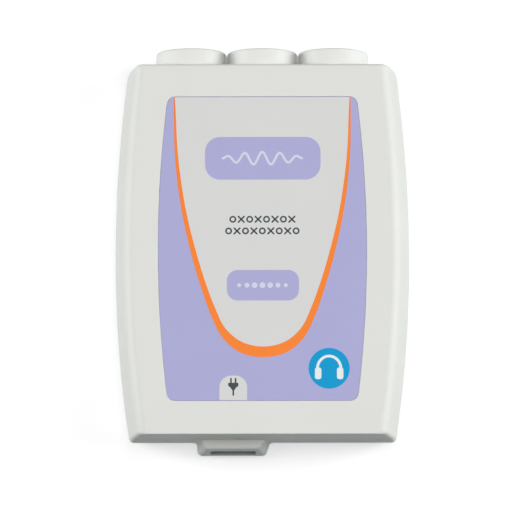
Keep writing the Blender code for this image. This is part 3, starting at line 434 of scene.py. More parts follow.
# Points round a right-hand corner, from the bowed side to the level end
def cornerArc(section, half, edge, radius):
    middle, bulge = section
    way = math.copysign(1, edge)
    start = edge - way * radius
    for _ in range(fineness["passes"]):
        lean = math.atan(2 * bulge * start / half ** 2)
        start = edge - way * radius * (1 - math.sin(abs(lean)))
    hub = (middle - bulge * (start / half) ** 2 - radius * math.cos(lean), start - radius * math.sin(lean))
    steps = fineness["corner"]
    turns = [lean + (way * quarterTurn - lean) * step / steps for step in range(steps + 1)]
    return [(hub[0] + radius * math.cos(turn), hub[1] + radius * math.sin(turn)) for turn in turns]


# Outline with two bowed sides and two level ends
def barrel(section, half, rear, front, rearCorner, frontCorner, frontBow=1.0):
    middle, bulge = section
    rearArc = cornerArc(section, half, rear, rearCorner)
    frontArc = cornerArc((middle, bulge * frontBow), half, front, frontCorner)
    low, high = rearArc[0][1], frontArc[0][1]
    places = [low + (high - low) * step / fineness["side"] for step in range(1, fineness["side"])]
    right = [(middle - bulge * (frontBow if y > 0 else 1.0) * (y / half) ** 2, y) for y in places]
    right = rearArc[::-1] + right + frontArc
    return right + [(-x, y) for x, y in reversed(right)]


def caseRing(half, z, sideIn=0.0, usbEndIn=0.0, jackEndIn=0.0):
    outline = barrel((half - sideIn, caseBody["bow"]), halfLength, -halfLength + usbEndIn,
                     halfLength - jackEndIn, caseBody["usbEndCorner"], caseBody["jackEndCorner"],
                     caseBody["jackEndBow"])
    return flatRing(outline, z)


def innerRing(half, z):
    wall, corner = caseBody["wall"], caseBody["innerCorner"]
    outline = barrel((half - wall, caseBody["bow"]), halfLength, -halfLength + wall, panelSize["postRearY"],
                     corner, corner, caseBody["jackEndBow"])
    return flatRing(outline, z)


def seamRing(setIn):
    corner = max(caseBody["jackEndCorner"] - setIn, caseBody["innerCorner"])
    return barrel((caseBody["seam"] - setIn, caseBody["bow"]), halfLength, -halfLength + setIn,
                  halfLength - setIn, caseBody["innerCorner"], corner, caseBody["jackEndBow"])


def between(first, second, share):
    return caseBody[first] + (caseBody[second] - caseBody[first]) * share


# Half widths up the shoulder, each with its share of the rise from the shoulder's foot to the top
def shoulderWidths():
    steps = quarterSteps(fineness["shoulder"])
    return [(between("face", "shoulder", cosine), sine) for sine, cosine in steps]


# How far an end is set in at a height, for the fillet under the face
def endFillet(z, radius):
    rise = z - (faceZ - radius)
    return 0.0 if rise <= 0 else radius - math.sqrt(max(radius ** 2 - rise ** 2, 0.0))


def panelOpening():
    half = panelSize["windowHalf"]
    window = block("window", (-half, half), (panelSize["postRearY"] - overrun, halfLength + overrun),
                   (floorZ, ceilingZ))
    reach = half + panelSize["tongue"] + play
    groove = block("groove", (-reach, reach), (panelSize["rearY"] - play, panelSize["frontY"] + play),
                   (floorZ, ceilingZ))
    return window, groove


screwPost = {"x": 0.042, "y": 0.05725, "bossRadius": 0.0036, "pillarRadius": 0.0044, "webWidth": 0.0012,
             "webDrop": 0.0028, "screwRadius": 0.0014, "headRadius": 0.0027, "headHeight": 0.0017,
             "sink": 0.0017, "tipZ": 0.0241, "tail": 0.001}
boardPost = {"x": 0.0325, "yEnds": (-0.05975, 0.03325), "radius": 0.003, "screwRadius": 0.00115,
             "topZ": 0.00485, "tipZ": 0.00265}
ribs = {"width": 0.0012, "pitch": 0.022, "faceHeight": 0.0016, "floorHeight": 0.0007, "faceFront": 0.04075,
        "buried": 0.0005}
notch = {"x": -0.009, "width": 0.0028, "height": 0.0028, "depth": 0.0012, "corner": 0.0004}
foot = {"x": 0.04, "y": 0.046, "radius": 0.0047, "pocket": 0.0008, "round": 0.0006, "bevel": 0.0001,
        "hollow": ((0.35, 0.00004), (0.7, 0.0))}  # shares of the radius, and heights there
boardPlaces = [(side * boardPost["x"], y) for side in (-1, 1) for y in boardPost["yEnds"]]
postPlaces, footPlaces = ([(side * spot["x"], end * spot["y"]) for side in (-1, 1) for end in (-1, 1)]
                          for spot in (screwPost, foot))
seatZ = baseZ + screwPost["sink"] + screwPost["headHeight"] + play


def web(key, x, y, low, high):
    wall = caseBody[key] - caseBody["bow"] * (y / halfLength) ** 2 - caseBody["wall"] / 2
    half = screwPost["webWidth"] / 2
    return block("web", sorted((x, math.copysign(wall, x))), (y - half, y + half), (low, high))


label = {  # the face label and its recess
    "halfLength": 0.05745,
    "section": (0.039, 0.0036),
    "corner": 0.0032,
    "recessZ": 0.0312,
    "edgeRound": 0.00022,
    "thickness": 0.0004,
    "filmEdge": 0.00008,
    "filmGap": 0.00006,
}


def labelOutline(setIn):
    half, corner = label["halfLength"], label["corner"]
    middle, bulge = label["section"]
    return barrel((middle - setIn, bulge), half, -half + setIn, half - setIn, corner, corner)


# Tool for the label recess: small radius at the floor, softened edge at the face
def recessTool():
    low, edge = label["recessZ"], label["edgeRound"]
    levels = [(play / 2, low), (0.0, low + play / 2)]
    levels += [(-outwards, faceZ - drop) for outwards, drop in reversed(quarterRound(edge))]
    levels.append((-edge, faceZ + overrun))
    return loft("recess", [flatRing(labelOutline(setIn), z) for setIn, z in levels])


def makeUpperCase():
    rings = []
    for setIn, advance in quarterRound(caseBody["seamRound"]):
        rings.append(caseRing(caseBody["seam"], upperEdge + advance, setIn, setIn, setIn))
    for share in caseBody["upperRings"]:
        z = upperEdge + (shoulderZ - upperEdge) * share
        rings.append(caseRing(between("seam", "shoulder", share), z))
    usbEnd, jackEnd = caseBody["usbEndFillet"], caseBody["jackEndFillet"]
    for half, share in shoulderWidths():
        z = shoulderZ + (faceZ - shoulderZ) * share
        rings.append(caseRing(half, z, 0.0, endFillet(z, usbEnd), endFillet(z, jackEnd)))
    support = caseBody["support"]
    rings.append(caseRing(caseBody["face"], faceZ, support, usbEnd + support, jackEnd + support))
    case = loft("upperCaseShell", rings)

    hollow = [innerRing(caseBody["seam"], seamZ - overrun), innerRing(caseBody["seam"], seamZ + overrun)]
    for half, share in shoulderWidths():
        z = shoulderZ + (ceilingZ - shoulderZ) * share
        hollow.append(innerRing(half - caseBody["shoulderLoss"], z))
    cut(case, loft("hollow", hollow))

    outer, inner = seamRing(tongue["setIn"]), seamRing(tongue["setIn"] + tongue["width"])
    fuse(case, band("tongue", outer, inner, seamZ - tongue["depth"], seamZ + tongue["root"]))
    buriedZ = (faceZ + ceilingZ) / 2
    for x, y in postPlaces:
        fuse(case, web("shoulder", x, y, upperEdge + screwPost["webDrop"], shoulderZ))
        fuse(case, cylinder("boss", screwPost["bossRadius"], upperEdge, buriedZ, x, y))
    ribRear = -(screwPost["y"] - screwPost["bossRadius"] - overrun)
    half = ribs["width"] / 2
    for side in (-1, 0, 1):
        x = side * ribs["pitch"]
        fuse(case, block("rib", (x - half, x + half), (ribRear, ribs["faceFront"]),
                         (ceilingZ - ribs["faceHeight"], ceilingZ + ribs["buried"])))
    cut(case, *panelOpening())
    cut(case, recessTool())
    drill(case, postPlaces, screwPost["screwRadius"] + play, upperEdge - overrun,
          screwPost["tipZ"] + screwPost["tail"])
    left, right = notch["x"] - notch["width"] / 2, notch["x"] + notch["width"] / 2
    top = upperEdge + notch["height"]
    corners = rounded([(left, seamZ), (right, seamZ), (right, top), (left, top)], notch["corner"])
    cut(case, loft("notch", [uprightRing(corners, -halfLength + y) for y in (-overrun, notch["depth"])]))
    return dress(case, casePlastic, stands=["upper_case"], weighted=True)


hood = {  # moulded hood round the USB socket
    "x": -0.0111,
    "socketX": -0.0108,
    "socketZ": 0.0087,
    "slot": (0.0169, 0.0056),
    "slotZ": 0.0086,
    "slotCorner": 0.0008,
    "slotDepth": 0.0011,
    "slotEdge": 0.00025,
    "lowZ": 0.0043,
    "highZ": 0.0148,
    "halfWidth": 0.0137,
    "reach": 0.005,
    "setBack": (0.0008, 0.0017),  # at the brow over the slot, and at the top
    "browZ": 0.0118,
    "sideLean": 0.0024,
    "frontLeans": (0.0001, 0.0007),  # left, right
    "corner": 0.0008,
    "planRound": 0.0018,
    "edgeRound": 0.0009,
    "rootFillet": (0.0013, 0.0003),  # along the wall, up it
    "buried": 0.0006,
    "paintTurn": 0.3,  # faces that look further to the front aren't painted
}
hoodFront = -halfLength - hood["reach"]


def hoodLean(z, share):
    brow, top = hood["setBack"]
    rise = z - hood["lowZ"]
    above = max(z - hood["browZ"], 0.0)
    return share * (brow * (rise - above) / (hood["browZ"] - hood["lowZ"])
                    + (top - brow) * above / (hood["highZ"] - hood["browZ"]))


# One section of the hood at a place on Y, its top leaning back from its foot
def hoodRing(y, sideIn, heightIn, share):
    left, right = (hood["halfWidth"] - lean * share - sideIn for lean in hood["frontLeans"])
    low, high = hood["lowZ"] + heightIn, hood["highZ"] - heightIn
    x, lean, browZ = hood["x"], hood["sideLean"], hood["browZ"]
    brow = lean * (browZ - hood["lowZ"]) / (hood["highZ"] - hood["lowZ"])
    corners = [(x - left, low), (x + right, low), (x + right - lean, high), (x - left + lean, high)]
    outline = rounded(corners, hood["corner"])
    half = len(outline) // 2
    outline = outline[:half] + [(x + right - brow, browZ)] + outline[half:] + [(x - left + brow, browZ)]
    return [(px, y + hoodLean(z, share), z) for px, z in outline]


def makeHood():
    along, up = hood["rootFillet"]
    plan, edge = hood["planRound"], hood["edgeRound"]
    rings = [hoodRing(-halfLength + hood["buried"], -along, -up, 0.0)]
    for spread, advance in quarterRound(1.0, fineness["rim"]):
        rings.append(hoodRing(-halfLength - along * advance, -along * spread, -up * spread, 0.0))
    for sine, cosine in quarterSteps(fineness["corner"] + 3):
        back = plan * (1 - sine)
        sideIn = plan * (1 - cosine)
        heightIn = edge - math.sqrt(max(edge ** 2 - max(edge - back, 0.0) ** 2, 0.0))
        rings.append(hoodRing(hoodFront + back, sideIn, heightIn, 1.0))
    return loft("hood", rings)


def slotRing(y, grow, share):
    wide, high = hood["slot"]
    corners = rectangle(hood["x"], hood["slotZ"], wide + 2 * grow, high + 2 * grow)
    return [(x, y + hoodLean(z, share), z) for x, z in rounded(corners, hood["slotCorner"] + grow)]


def makeSlot():
    edge = hood["slotEdge"]
    rings = [slotRing(-halfLength + hood["slotDepth"], 0.0, 0.0)]
    rings += [slotRing(hoodFront + drop, outwards, 1.0) for outwards, drop in reversed(quarterRound(edge))]
    rings.append(slotRing(hoodFront - overrun, edge, 1.0))
    return loft("slot", rings)


usb = {  # small USB socket in the hood
    "width": 0.0077, "height": 0.0039, "length": 0.0092, "step": 0.0012, "sheet": 0.0003, "corner": 0.0004,
    "leastCorner": 0.0001, "cornerSteps": 4, "tongue": (0.0048, 0.0008), "tongueTaper": 0.0001,
    "insertLength": 0.0026, "tongueRecess": 0.0009, "contacts": 5, "contactPitch": 0.0008,
    "contactWidth": 0.0004, "contactStart": 0.0005, "contactStandOut": 0.00012, "contactBuried": 0.0001,
}
usbFrontY = -halfLength + hood["slotDepth"]
usbRearY = usbFrontY + usb["length"]


def usbOutline(setIn):
    half, top = usb["width"] / 2 - setIn, usb["height"] / 2 - setIn
    inner = half - usb["step"]
    corners = [(-half, 0.0), (-inner, -top), (inner, -top), (half, 0.0), (half, top), (-half, top)]
    ring = rounded(corners, max(usb["corner"] - setIn, usb["leastCorner"]), usb["cornerSteps"])
    return [(hood["socketX"] + x, hood["socketZ"] + z) for x, z in ring]


def usbForm(name, setIn, yEnds):
    return loft(name, [uprightRing(usbOutline(setIn), y) for y in yEnds])


# Painted shade: a darker grey on the walls of the slot, not on the hood round it, stands in for the shade
# inside the recess
def paintSlotShade(case):
    case.data.materials.append(slotPaintedShade)
    wide, high = (size / 2 + play for size in hood["slot"])
    deepest, middle = caseBody["wall"] - halfLength, -halfLength - hood["reach"] / 2
    for face in case.data.polygons:
        x, y, z = face.center
        inSlot = abs(x - hood["x"]) < wide and abs(z - hood["slotZ"]) < high and y < deepest
        if inSlot and (abs(face.normal.y) < hood["paintTurn"] or y > middle):
            face.material_index = 1


def makeLowerCase():
    support, endIn = caseBody["support"], caseBody["baseEndSetIn"]
    rings = [caseRing(caseBody["base"], baseZ, support, endIn + support, endIn + support)]
    for sine, cosine in quarterSteps(fineness["tuck"]):
        z = baseZ + (bellyZ - baseZ) * (1 - cosine)
        setIn = endIn * (1 - sine)
        rings.append(caseRing(between("base", "belly", sine), z, 0.0, setIn, setIn))
    edge = caseBody["seamRound"]
    for share in caseBody["lowerRings"]:
        z = bellyZ + (lowerEdge - edge - bellyZ) * share
        rings.append(caseRing(between("belly", "seam", share), z))
    for setIn, advance in reversed(quarterRound(edge)):
        rings.append(caseRing(caseBody["seam"], lowerEdge - advance, setIn, setIn, setIn))
    case = loft("lowerCaseShell", rings)

    levels = (("base", floorZ), ("belly", bellyZ), ("seam", seamZ - overrun), ("seam", seamZ + overrun))
    cut(case, loft("hollow", [innerRing(caseBody[key], z) for key, z in levels]))
    grooveLow = seamZ - tongue["depth"] - play
    buriedZ = (baseZ + floorZ) / 2
    for x, y in postPlaces:
        fuse(case, web("base", x, y, buriedZ, grooveLow - screwPost["webDrop"]))
        fuse(case, cylinder("pillar", screwPost["pillarRadius"], buriedZ, lowerEdge, x, y))
    for x, y in boardPlaces:
        fuse(case, cylinder("post", boardPost["radius"], buriedZ, boardPost["topZ"] - play, x, y))
    ribEnd = screwPost["x"] - screwPost["pillarRadius"] - overrun
    half = ribs["width"] / 2
    for row in (-1, 0, 1):
        y = row * ribs["pitch"]
        fuse(case, block("rib", (-ribEnd, ribEnd), (y - half, y + half),
                         (buriedZ, floorZ + ribs["floorHeight"])))
    fuse(case, makeHood())
    cut(case, band("rebate", seamRing(tongue["setIn"] - play), seamRing(caseBody["wall"] + play), grooveLow,
                   seamZ + overrun))
    cut(case, *panelOpening())
    window = usbForm("window", -play, (usbFrontY - overrun, -halfLength + caseBody["wall"] + overrun))
    cut(case, makeSlot(), window)
    head, shank = screwPost["headRadius"] + play, screwPost["screwRadius"] + play
    for x, y in postPlaces:
        stations = [(head + play, baseZ - overrun), (head + play, baseZ), (head, baseZ + play), (head, seatZ),
                    (shank, seatZ), (shank, lowerEdge + overrun)]
        cut(case, turnedForm("hole", stations, fineness["small"], (x, y, 0)))
    drill(case, boardPlaces, boardPost["screwRadius"] + play, boardPost["tipZ"] - play, boardPost["topZ"])
    drill(case, footPlaces, foot["radius"] + play, baseZ - overrun, baseZ + foot["pocket"], fineness["round"])
    dress(case, casePlastic, stands=["lower_case"], weighted=True)
    paintSlotShade(case)


makeUpperCase()
makeLowerCase()
print("shells ready")


# Jack panel and what it carries
jack = {
    "names": ("left_ear", "right_ear", "response"),
    "pitch": 0.0268,
    "z": 0.0166,
    "collarRadius": 0.0131,
    "collarWall": 0.0035,
    "collarLength": 0.0082,
    "collarRound": 0.0008,
    "bowlRound": 0.0007,
    "rootFillet": 0.00035,
    "buried": 0.001,  # how deep collars and webs stand in the panel
    "webRise": (-0.003, 0.0022),  # foot and top of the web between two collars, from their axis
    "webShort": 0.0013,  # how much shorter than the collars it is
    "webHalfWidth": 0.0011,
    "bushingRadius": 0.0047,
    "boreRadius": 0.0033,
    "bushingLength": 0.0152,
    "stickOut": 0.0064,
    "chamfer": 0.0004,
    "threadDepth": 0.00032,
    "threadPitch": 0.00075,
    "threadTail": 0.0002,
    "washer": (0.0075, 0.0008),
    "nut": (0.0127, 0.0026),
    "nutBevel": 0.0009,
    "nutCone": (1.01, 1.2),  # half widths of the cone that bevels it, as shares of its own
    "nutBore": (0.0005, 0.0004),  # how much wider the bore is at its ends, and how deep
}
jackPlaces = [(name, (index - 1) * jack["pitch"]) for index, name in enumerate(jack["names"])]
panelFront = panelSize["frontY"]
threadSteps = 6  # stations in one pitch of a thread


# Turned form on the axis of one jack
def jackForm(name, stations, x, steps=fineness["round"], ring=False):
    return turnedForm(name, stations, steps, (x, 0, jack["z"]), "Y", ring)


def makeJackPanel():
    reach = panelSize["windowHalf"] + panelSize["tongue"]
    panel = block("jackPanelMoulding", (-reach, reach), (panelSize["rearY"], panelFront),
                  (floorZ + play, ceilingZ - play))
    radius, end = jack["collarRadius"], panelFront + jack["collarLength"]
    root, buriedY = jack["rootFillet"], panelFront - jack["buried"]
    for _, x in jackPlaces:
        stations = [(radius + root, buriedY)]
        stations += [(radius + outwards, panelFront + advance) for outwards, advance in quarterRound(root)]
        stations += [(radius - setIn, end - advance)
                     for setIn, advance in reversed(quarterRound(jack["collarRound"], fineness["tuck"]))]
        fuse(panel, jackForm("collar", stations, x, fineness["large"]))
    half = jack["webHalfWidth"]
    for side in (-0.5, 0.5):
        x = side * jack["pitch"]
        fuse(panel, block("web", (x - half, x + half), (buriedY, end - jack["webShort"]),
                          [jack["z"] + rise for rise in jack["webRise"]]))
    bowl, edge = radius - jack["collarWall"], jack["bowlRound"]
    hole = jack["bushingRadius"] + play
    for _, x in jackPlaces:
        stations = [(hole, panelSize["rearY"] - overrun), (hole, panelFront), (bowl - play, panelFront),
                    (bowl, panelFront + play)]
        stations += [(bowl + outwards, end - drop)
                     for outwards, drop in reversed(quarterRound(edge, fineness["rim"]))]
        stations.append((bowl + edge, end + overrun))
        cut(panel, jackForm("bowl", stations, x, fineness["large"]))
    return dress(panel, panelPlasticPaintedPaler, stands=["jack_panel"], weighted=True)


def hexagon(acrossFlats, perSide):
    outline = []
    for step in range(6 * perSide):
        turn = math.pi / 3 * step / perSide
        reach = acrossFlats / 2 / math.cos(turn % (math.pi / 3) - math.pi / 6)
        outline.append((reach * math.cos(turn), reach * math.sin(turn)))
    return outline


def makeBushing(name, x):
    outer, inner, chamfer = jack["bushingRadius"], jack["boreRadius"], jack["chamfer"]
    front = panelFront + jack["stickOut"]
    rear = front - jack["bushingLength"]
    threaded = front - chamfer - panelFront
    cutThread = thread(outer, jack["threadDepth"], jack["threadPitch"])
    stations = [(inner, rear), (outer, rear), (outer, panelFront)]
    steps = int(threaded / jack["threadPitch"] * threadSteps)
    for step in range(1, steps):
        place = panelFront + threaded * step / steps
        stations.append((cutThread(place), place))
    stations += [(outer - jack["threadDepth"], front - chamfer / 2),
                 (outer - chamfer - jack["threadTail"], front), (inner + chamfer, front),
                 (inner, front - chamfer)]
    bushing = jackForm(name + "BushingTurned", stations, x, ring=True)
    dress(bushing, nickelPlate, stands=[name + "_bushing"], sharp=40)


def makeWasherAndNut(name, x):
    bore = jack["bushingRadius"] + play
    radius, thick = jack["washer"]
    low = panelFront + play
    high = low + thick
    edge = thick / 5
    stations = [(bore, low), (radius - edge, low), (radius, low + edge), (radius, high - edge),
                (radius - edge, high), (bore, high)]
    washer = jackForm(name + "WasherTurned", stations, x, ring=True)
    dress(washer, nickelPlate, stands=[name + "_washer"])

    flats, length = jack["nut"]
    rear, front = high + play, high + play + length
    nut = prism(name + "NutMachined", hexagon(flats, fineness["curve"]), rear, front)
    past, bevel, (wider, deep) = 0.0001, jack["nutBevel"], jack["nutBore"]
    small, large = (flats / 2 * share for share in jack["nutCone"])
    cone = turnedForm("cone", [(small, rear - past), (large, rear + bevel), (large, front - bevel),
                               (small, front + past)], fineness["large"], (0, 0, 0))
    applyTool(nut, cone, "INTERSECT")
    hole = turnedForm("hole", [(bore + wider, rear - past), (bore, rear + deep), (bore, front - deep),
                               (bore + wider, front + past)], fineness["round"], (0, 0, 0))
    cut(nut, hole)
    nut.data.transform(Matrix.Translation((x, 0, jack["z"])) @ Matrix.Rotation(-quarterTurn, 4, "X"))
    dress(nut, nickelPlate, stands=[name + "_nut"], sharp=24)


makeJackPanel()
for jackName, jackX in jackPlaces:
    makeBushing(jackName, jackX)
    makeWasherAndNut(jackName, jackX)
print("jack end ready")


# USB socket: folded shell, moulded insert with its tongue, and the contacts under the tongue
def makeUsbSocket():
    shell = usbForm("usbShellFolded", 0.0, (usbFrontY, usbRearY))
    cut(shell, usbForm("mouth", usb["sheet"], (usbFrontY - overrun, usbRearY + overrun)))
    dress(shell, nickelPlate, stands=["usb_shell"])

    blockY = usbRearY - usb["insertLength"]
    insert = usbForm("usbInsertMoulded", usb["sheet"] + play, (blockY, usbRearY))
    wide, thick = usb["tongue"]
    tip, taper = usbFrontY + usb["tongueRecess"], usb["tongueTaper"]
    x, z = hood["socketX"], hood["socketZ"]
    small, full = (rounded(rectangle(x, z, wide - loss, thick - loss), thick / 4, 3)
                   for loss in (2 * taper, 0.0))
    levels = ((small, tip), (full, tip + taper), (full, blockY + usb["insertLength"] / 2))
    fuse(insert, loft("tongue", [uprightRing(ring, y) for ring, y in levels]))
    dress(insert, blackMoulding, stands=["usb_insert"])

    points, faces = [], []
    underside = hood["socketZ"] - thick / 2
    start = tip + usb["contactStart"]
    for index in range(usb["contacts"]):
        x = hood["socketX"] + (index - (usb["contacts"] - 1) / 2) * usb["contactPitch"]
        corners = rectangle(x, (start + blockY) / 2, usb["contactWidth"], blockY - start)
        first = len(points)
        for z in (underside - usb["contactStandOut"], underside + usb["contactBuried"]):
            points += flatRing(corners, z)
        for quad in ((0, 1, 2, 3), (4, 5, 6, 7), (0, 1, 5, 4), (1, 2, 6, 5), (2, 3, 7, 6), (3, 0, 4, 7)):
            faces.append([first + corner for corner in quad])
    dress(addMesh("usbContacts", points, faces), goldPlate)


makeUsbSocket()
print("USB socket ready")


# Case screws and feet
caseScrew = {
    "crownShare": 0.55,  # of the head's height
    "threadDepth": 0.00022,
    "threadPitch": 0.0011,
    "threadEnd": 4,  # stations left out before the tip
    "tip": ((0.7, 0.0005), (0.4, 0.0)),  # shares of the shank's radius, and places from the tip
    "crossHalfLength": 0.00165,
    "crossHalfWidth": 0.0003,
    "crossDepth": 0.0011,
    "crossTurn": 0.4,
}


# Pan-head screw with a cross recess, pointing up from its head
def makeCaseScrew(index, x, y):
    shank, head, high = screwPost["screwRadius"], screwPost["headRadius"], screwPost["headHeight"]
    seat, tip = seatZ - play, screwPost["tipZ"]
    crown = high * caseScrew["crownShare"]
    stations = [(head * sine, seat - (high - crown) - crown * cosine)
                for sine, cosine in quarterSteps(fineness["curve"])[1:]]
    stations += [(head, seat), (shank, seat)]
    cutThread = thread(shank, caseScrew["threadDepth"], caseScrew["threadPitch"])
    steps = int((tip - seat) / caseScrew["threadPitch"] * threadSteps)
    for step in range(threadSteps, steps - caseScrew["threadEnd"]):
        place = seat + (tip - seat) * step / steps
        stations.append((cutThread(place), place))
    stations += [(shank * share, tip - back) for share, back in caseScrew["tip"]]
    screw = turnedForm(f"caseScrewThreaded{index}", stations, fineness["small"], (x, y, 0))
    length, half = caseScrew["crossHalfLength"], caseScrew["crossHalfWidth"]
    for turn in (caseScrew["crossTurn"], caseScrew["crossTurn"] + quarterTurn):
        wing = block("wing", (-length, length), (-half, half),
                     (seat - high - overrun, seat - high + caseScrew["crossDepth"]))
        wing.data.transform(Matrix.Translation((x, y, 0)) @ Matrix.Rotation(turn, 4, "Z"))
        cut(screw, wing)
    dress(screw, zincPlate, stands=[f"case_screw_{index}"], sharp=35)


def makeFoot(index, x, y):
    radius, top, bevel = foot["radius"], baseZ + foot["pocket"] - play, foot["bevel"]
    stations = [(radius * share, z) for share, z in foot["hollow"]]
    stations += [(radius - setIn, advance) for setIn, advance in quarterRound(foot["round"], fineness["rim"])]
    stations += [(radius, top - bevel), (radius - bevel, top)]
    moulded = turnedForm(f"footMoulded{index}", stations, fineness["round"], (x, y, 0))
    dress(moulded, footRubber, stands=[f"foot_{index}"])


for number, (postX, postY) in enumerate(postPlaces, start=1):
    makeCaseScrew(number, postX, postY)
for number, (footX, footY) in enumerate(footPlaces, start=1):
    makeFoot(number, footX, footY)
print("screws and feet ready")


# Label and its print
filmTop = label["recessZ"] + play + label["thickness"]
prints = {  # plain motifs; places in metres from the middle of the face
    "bandOuter": [(0.0331, 0.0572), (0.03311, 0.0487), (0.03299, 0.0402), (0.03251, 0.0317),
                  (0.03162, 0.0232), (0.03038, 0.0148), (0.02877, 0.0065), (0.02682, -0.0018),
                  (0.02459, -0.01), (0.02202, -0.0181), (0.01912, -0.0261), (0.0151, -0.0338),
                  (0.0086, -0.0393), (0.0, -0.0411)],
    "bandInner": [(0.0327, 0.0572), (0.0323, 0.0491), (0.03198, 0.0409), (0.03136, 0.0328),
                  (0.03036, 0.0247), (0.0291, 0.0167), (0.02748, 0.0087), (0.02549, 0.0008),
                  (0.02332, -0.007), (0.02081, -0.0148), (0.01794, -0.0224), (0.0143, -0.0299),
                  (0.0082, -0.0352), (0.0, -0.0371)],
    "bandLean": 0.0028,  # drift of the band to the right on its way down
    "fieldOverlap": (0.0001, 0.001),  # how far the pale field runs under the band, and where that fades out
    "toneBadge": {"x": 0.0002, "y": 0.034, "size": (0.0432, 0.0162), "corner": 0.0056},
    "levelBadge": {"x": 0.0002, "y": -0.014, "size": (0.0269, 0.0115), "corner": 0.004},
    "disc": {"place": (0.0248, -0.0453), "radius": 0.00766},
    "tab": {"x": -0.0109, "width": 0.0103, "top": -0.048, "bottom": -0.0572, "corner": 0.0044},
    "tone": {"length": 0.0296, "height": 0.0024, "width": 0.0009, "swings": 4.5, "swell": 0.6,
             "steps": 160},
    "dots": {"pitch": 0.0029, "least": 0.0005, "growth": 0.0006, "fade": 0.38, "steps": 24},
    "marks": {"rows": ((0.0109, 8), (0.0065, 9)), "pitch": 0.00315, "size": 0.0026, "width": 0.0006,
              "steps": 40},
    "plug": {"drop": 0.0042, "prong": (0.00085, 0.0024), "prongSize": (0.0006, 0.0018), "top": 0.0013,
             "body": [(-0.0002, 0.0003), (-0.0002, 0.0017), (0.0, 0.0019), (0.001, 0.0019),
                      (0.0013, 0.0014), (0.0017, 0.001), (0.0027, 0.0003), (0.0046, 0.0003)]},
    "headset": {"arch": (0.0044, 0.0049), "archDrop": 0.0003, "archWidth": 0.001, "archSteps": 48,
                "cup": (0.0041, 0.0019), "cupSize": (0.0024, 0.0044), "cupCorner": 0.0009},
}
inkHeights = {"ground": 0.00001, "over": 0.00002, "top": 0.00003, "buried": 0.00001}


# Smooth curve through points
def curveThrough(places, steps=fineness["curve"]):
    ends = [places[0]] + list(places) + [places[-1]]
    path = []
    for index in range(1, len(ends) - 2):
        p0, p1, p2, p3 = (Vector(ends[index + offset]) for offset in (-1, 0, 1, 2))
        for step in range(steps):
            t = step / steps
            path.append(tuple(0.5 * (2 * p1 + (p2 - p0) * t + (2 * p0 - 5 * p1 + 4 * p2 - p3) * t * t
                                     + (3 * p1 - p0 - 3 * p2 + p3) * t ** 3)))
    path.append(tuple(places[-1]))
    return path


def mirrored(path):
    return path + [(-x, y) for x, y in reversed(path[:-1])]


# Pairs of facing points along a shape: a stroke with round ends, and a convex outline
def stroke(path, width):
    stations = []
    for index, (x, y) in enumerate(path):
        before, after = path[max(index - 1, 0)], path[min(index + 1, len(path) - 1)]
        reach = math.hypot(after[0] - before[0], after[1] - before[1])
        stations.append((x, y, (after[0] - before[0]) / reach, (after[1] - before[1]) / reach, 1.0))
    half = width / 2
    ends = []
    for (x, y, aheadX, aheadY, _), way in ((stations[0], -1), (stations[-1], 1)):
        ends.append([(x + way * aheadX * half * sine, y + way * aheadY * half * sine, aheadX, aheadY, cosine)
                     for sine, cosine in quarterSteps(fineness["rim"])[1:-1]])
    return [((x - aheadY * share * half, y + aheadX * share * half),
             (x + aheadY * share * half, y - aheadX * share * half))
            for x, y, aheadX, aheadY, share in ends[0][::-1] + stations + ends[1]]


def halves(outline):
    middle = len(outline) // 2
    return list(zip(outline[:middle], outline[:middle - 1:-1]))


# Flat print of one ink: closed plates that stand a hair above the film
def printInk(name, shapes, height, material):
    points, faces = [], []
    low, high = filmTop - inkHeights["buried"], filmTop + inkHeights[height]
    for pairs in shapes:
        first, last = len(points), len(points) + 4 * (len(pairs) - 1)
        for (leftX, leftY), (rightX, rightY) in pairs:
            points += [(leftX, leftY, low), (rightX, rightY, low), (rightX, rightY, high),
                       (leftX, leftY, high)]
        faces += [tuple(range(first, first + 4)), tuple(range(last, last + 4))]
        for start in range(first, last, 4):
            for corner in range(4):
                beside = (corner + 1) % 4
                faces.append((start + corner, start + beside, start + 4 + beside, start + 4 + corner))
    return dress(addMesh(name, points, faces), material, sharp=20)


def makeFilm():
    low, edge, gap = label["recessZ"] + play, label["filmEdge"], label["filmGap"]
    levels = [(gap, low), (gap, filmTop - edge), (gap + edge, filmTop)]
    film = loft("labelFilm", [flatRing(labelOutline(setIn), z) for setIn, z in levels])
    dress(film, lilacFilm, stands=["label_overlay"])


# Pale field and the orange band that runs round it
def printField():
    outer, inner = (curveThrough(mirrored(prints[key])) for key in ("bandOuter", "bandInner"))
    top, lean = prints["bandInner"][0][1], prints["bandLean"]
    overlap, fade = prints["fieldOverlap"]
    field = []
    for x, y in inner[:len(inner) // 2]:
        reach, drift = x + overlap * min(1.0, x / fade), lean * (top - y)
        field.append(((drift + reach, y), (drift - reach, y)))
    outer, inner = ([(x + lean * (top - y), y) for x, y in edge] for edge in (outer, inner))
    printInk("paleFieldPrint", [field], "ground", paleInk)
    printInk("orangeBandPrint", [list(zip(outer, inner))], "over", orangeInk)


def printTabAndDisc():
    tab, disc = prints["tab"], prints["disc"]
    half, corner = tab["width"] / 2, tab["corner"]
    pairs = [((tab["x"] - half, tab["bottom"]), (tab["x"] + half, tab["bottom"]))]
    for sine, cosine in quarterSteps(fineness["small"])[:-1]:
        reach, y = half - corner * (1 - cosine), tab["top"] - corner * (1 - sine)
        pairs.append(((tab["x"] - reach, y), (tab["x"] + reach, y)))
    printInk("socketTabPrint", [pairs], "ground", paleInk)
    outline = circle(disc["radius"], fineness["large"], disc["place"])
    printInk("discPrint", [halves(outline)], "ground", blueInk)


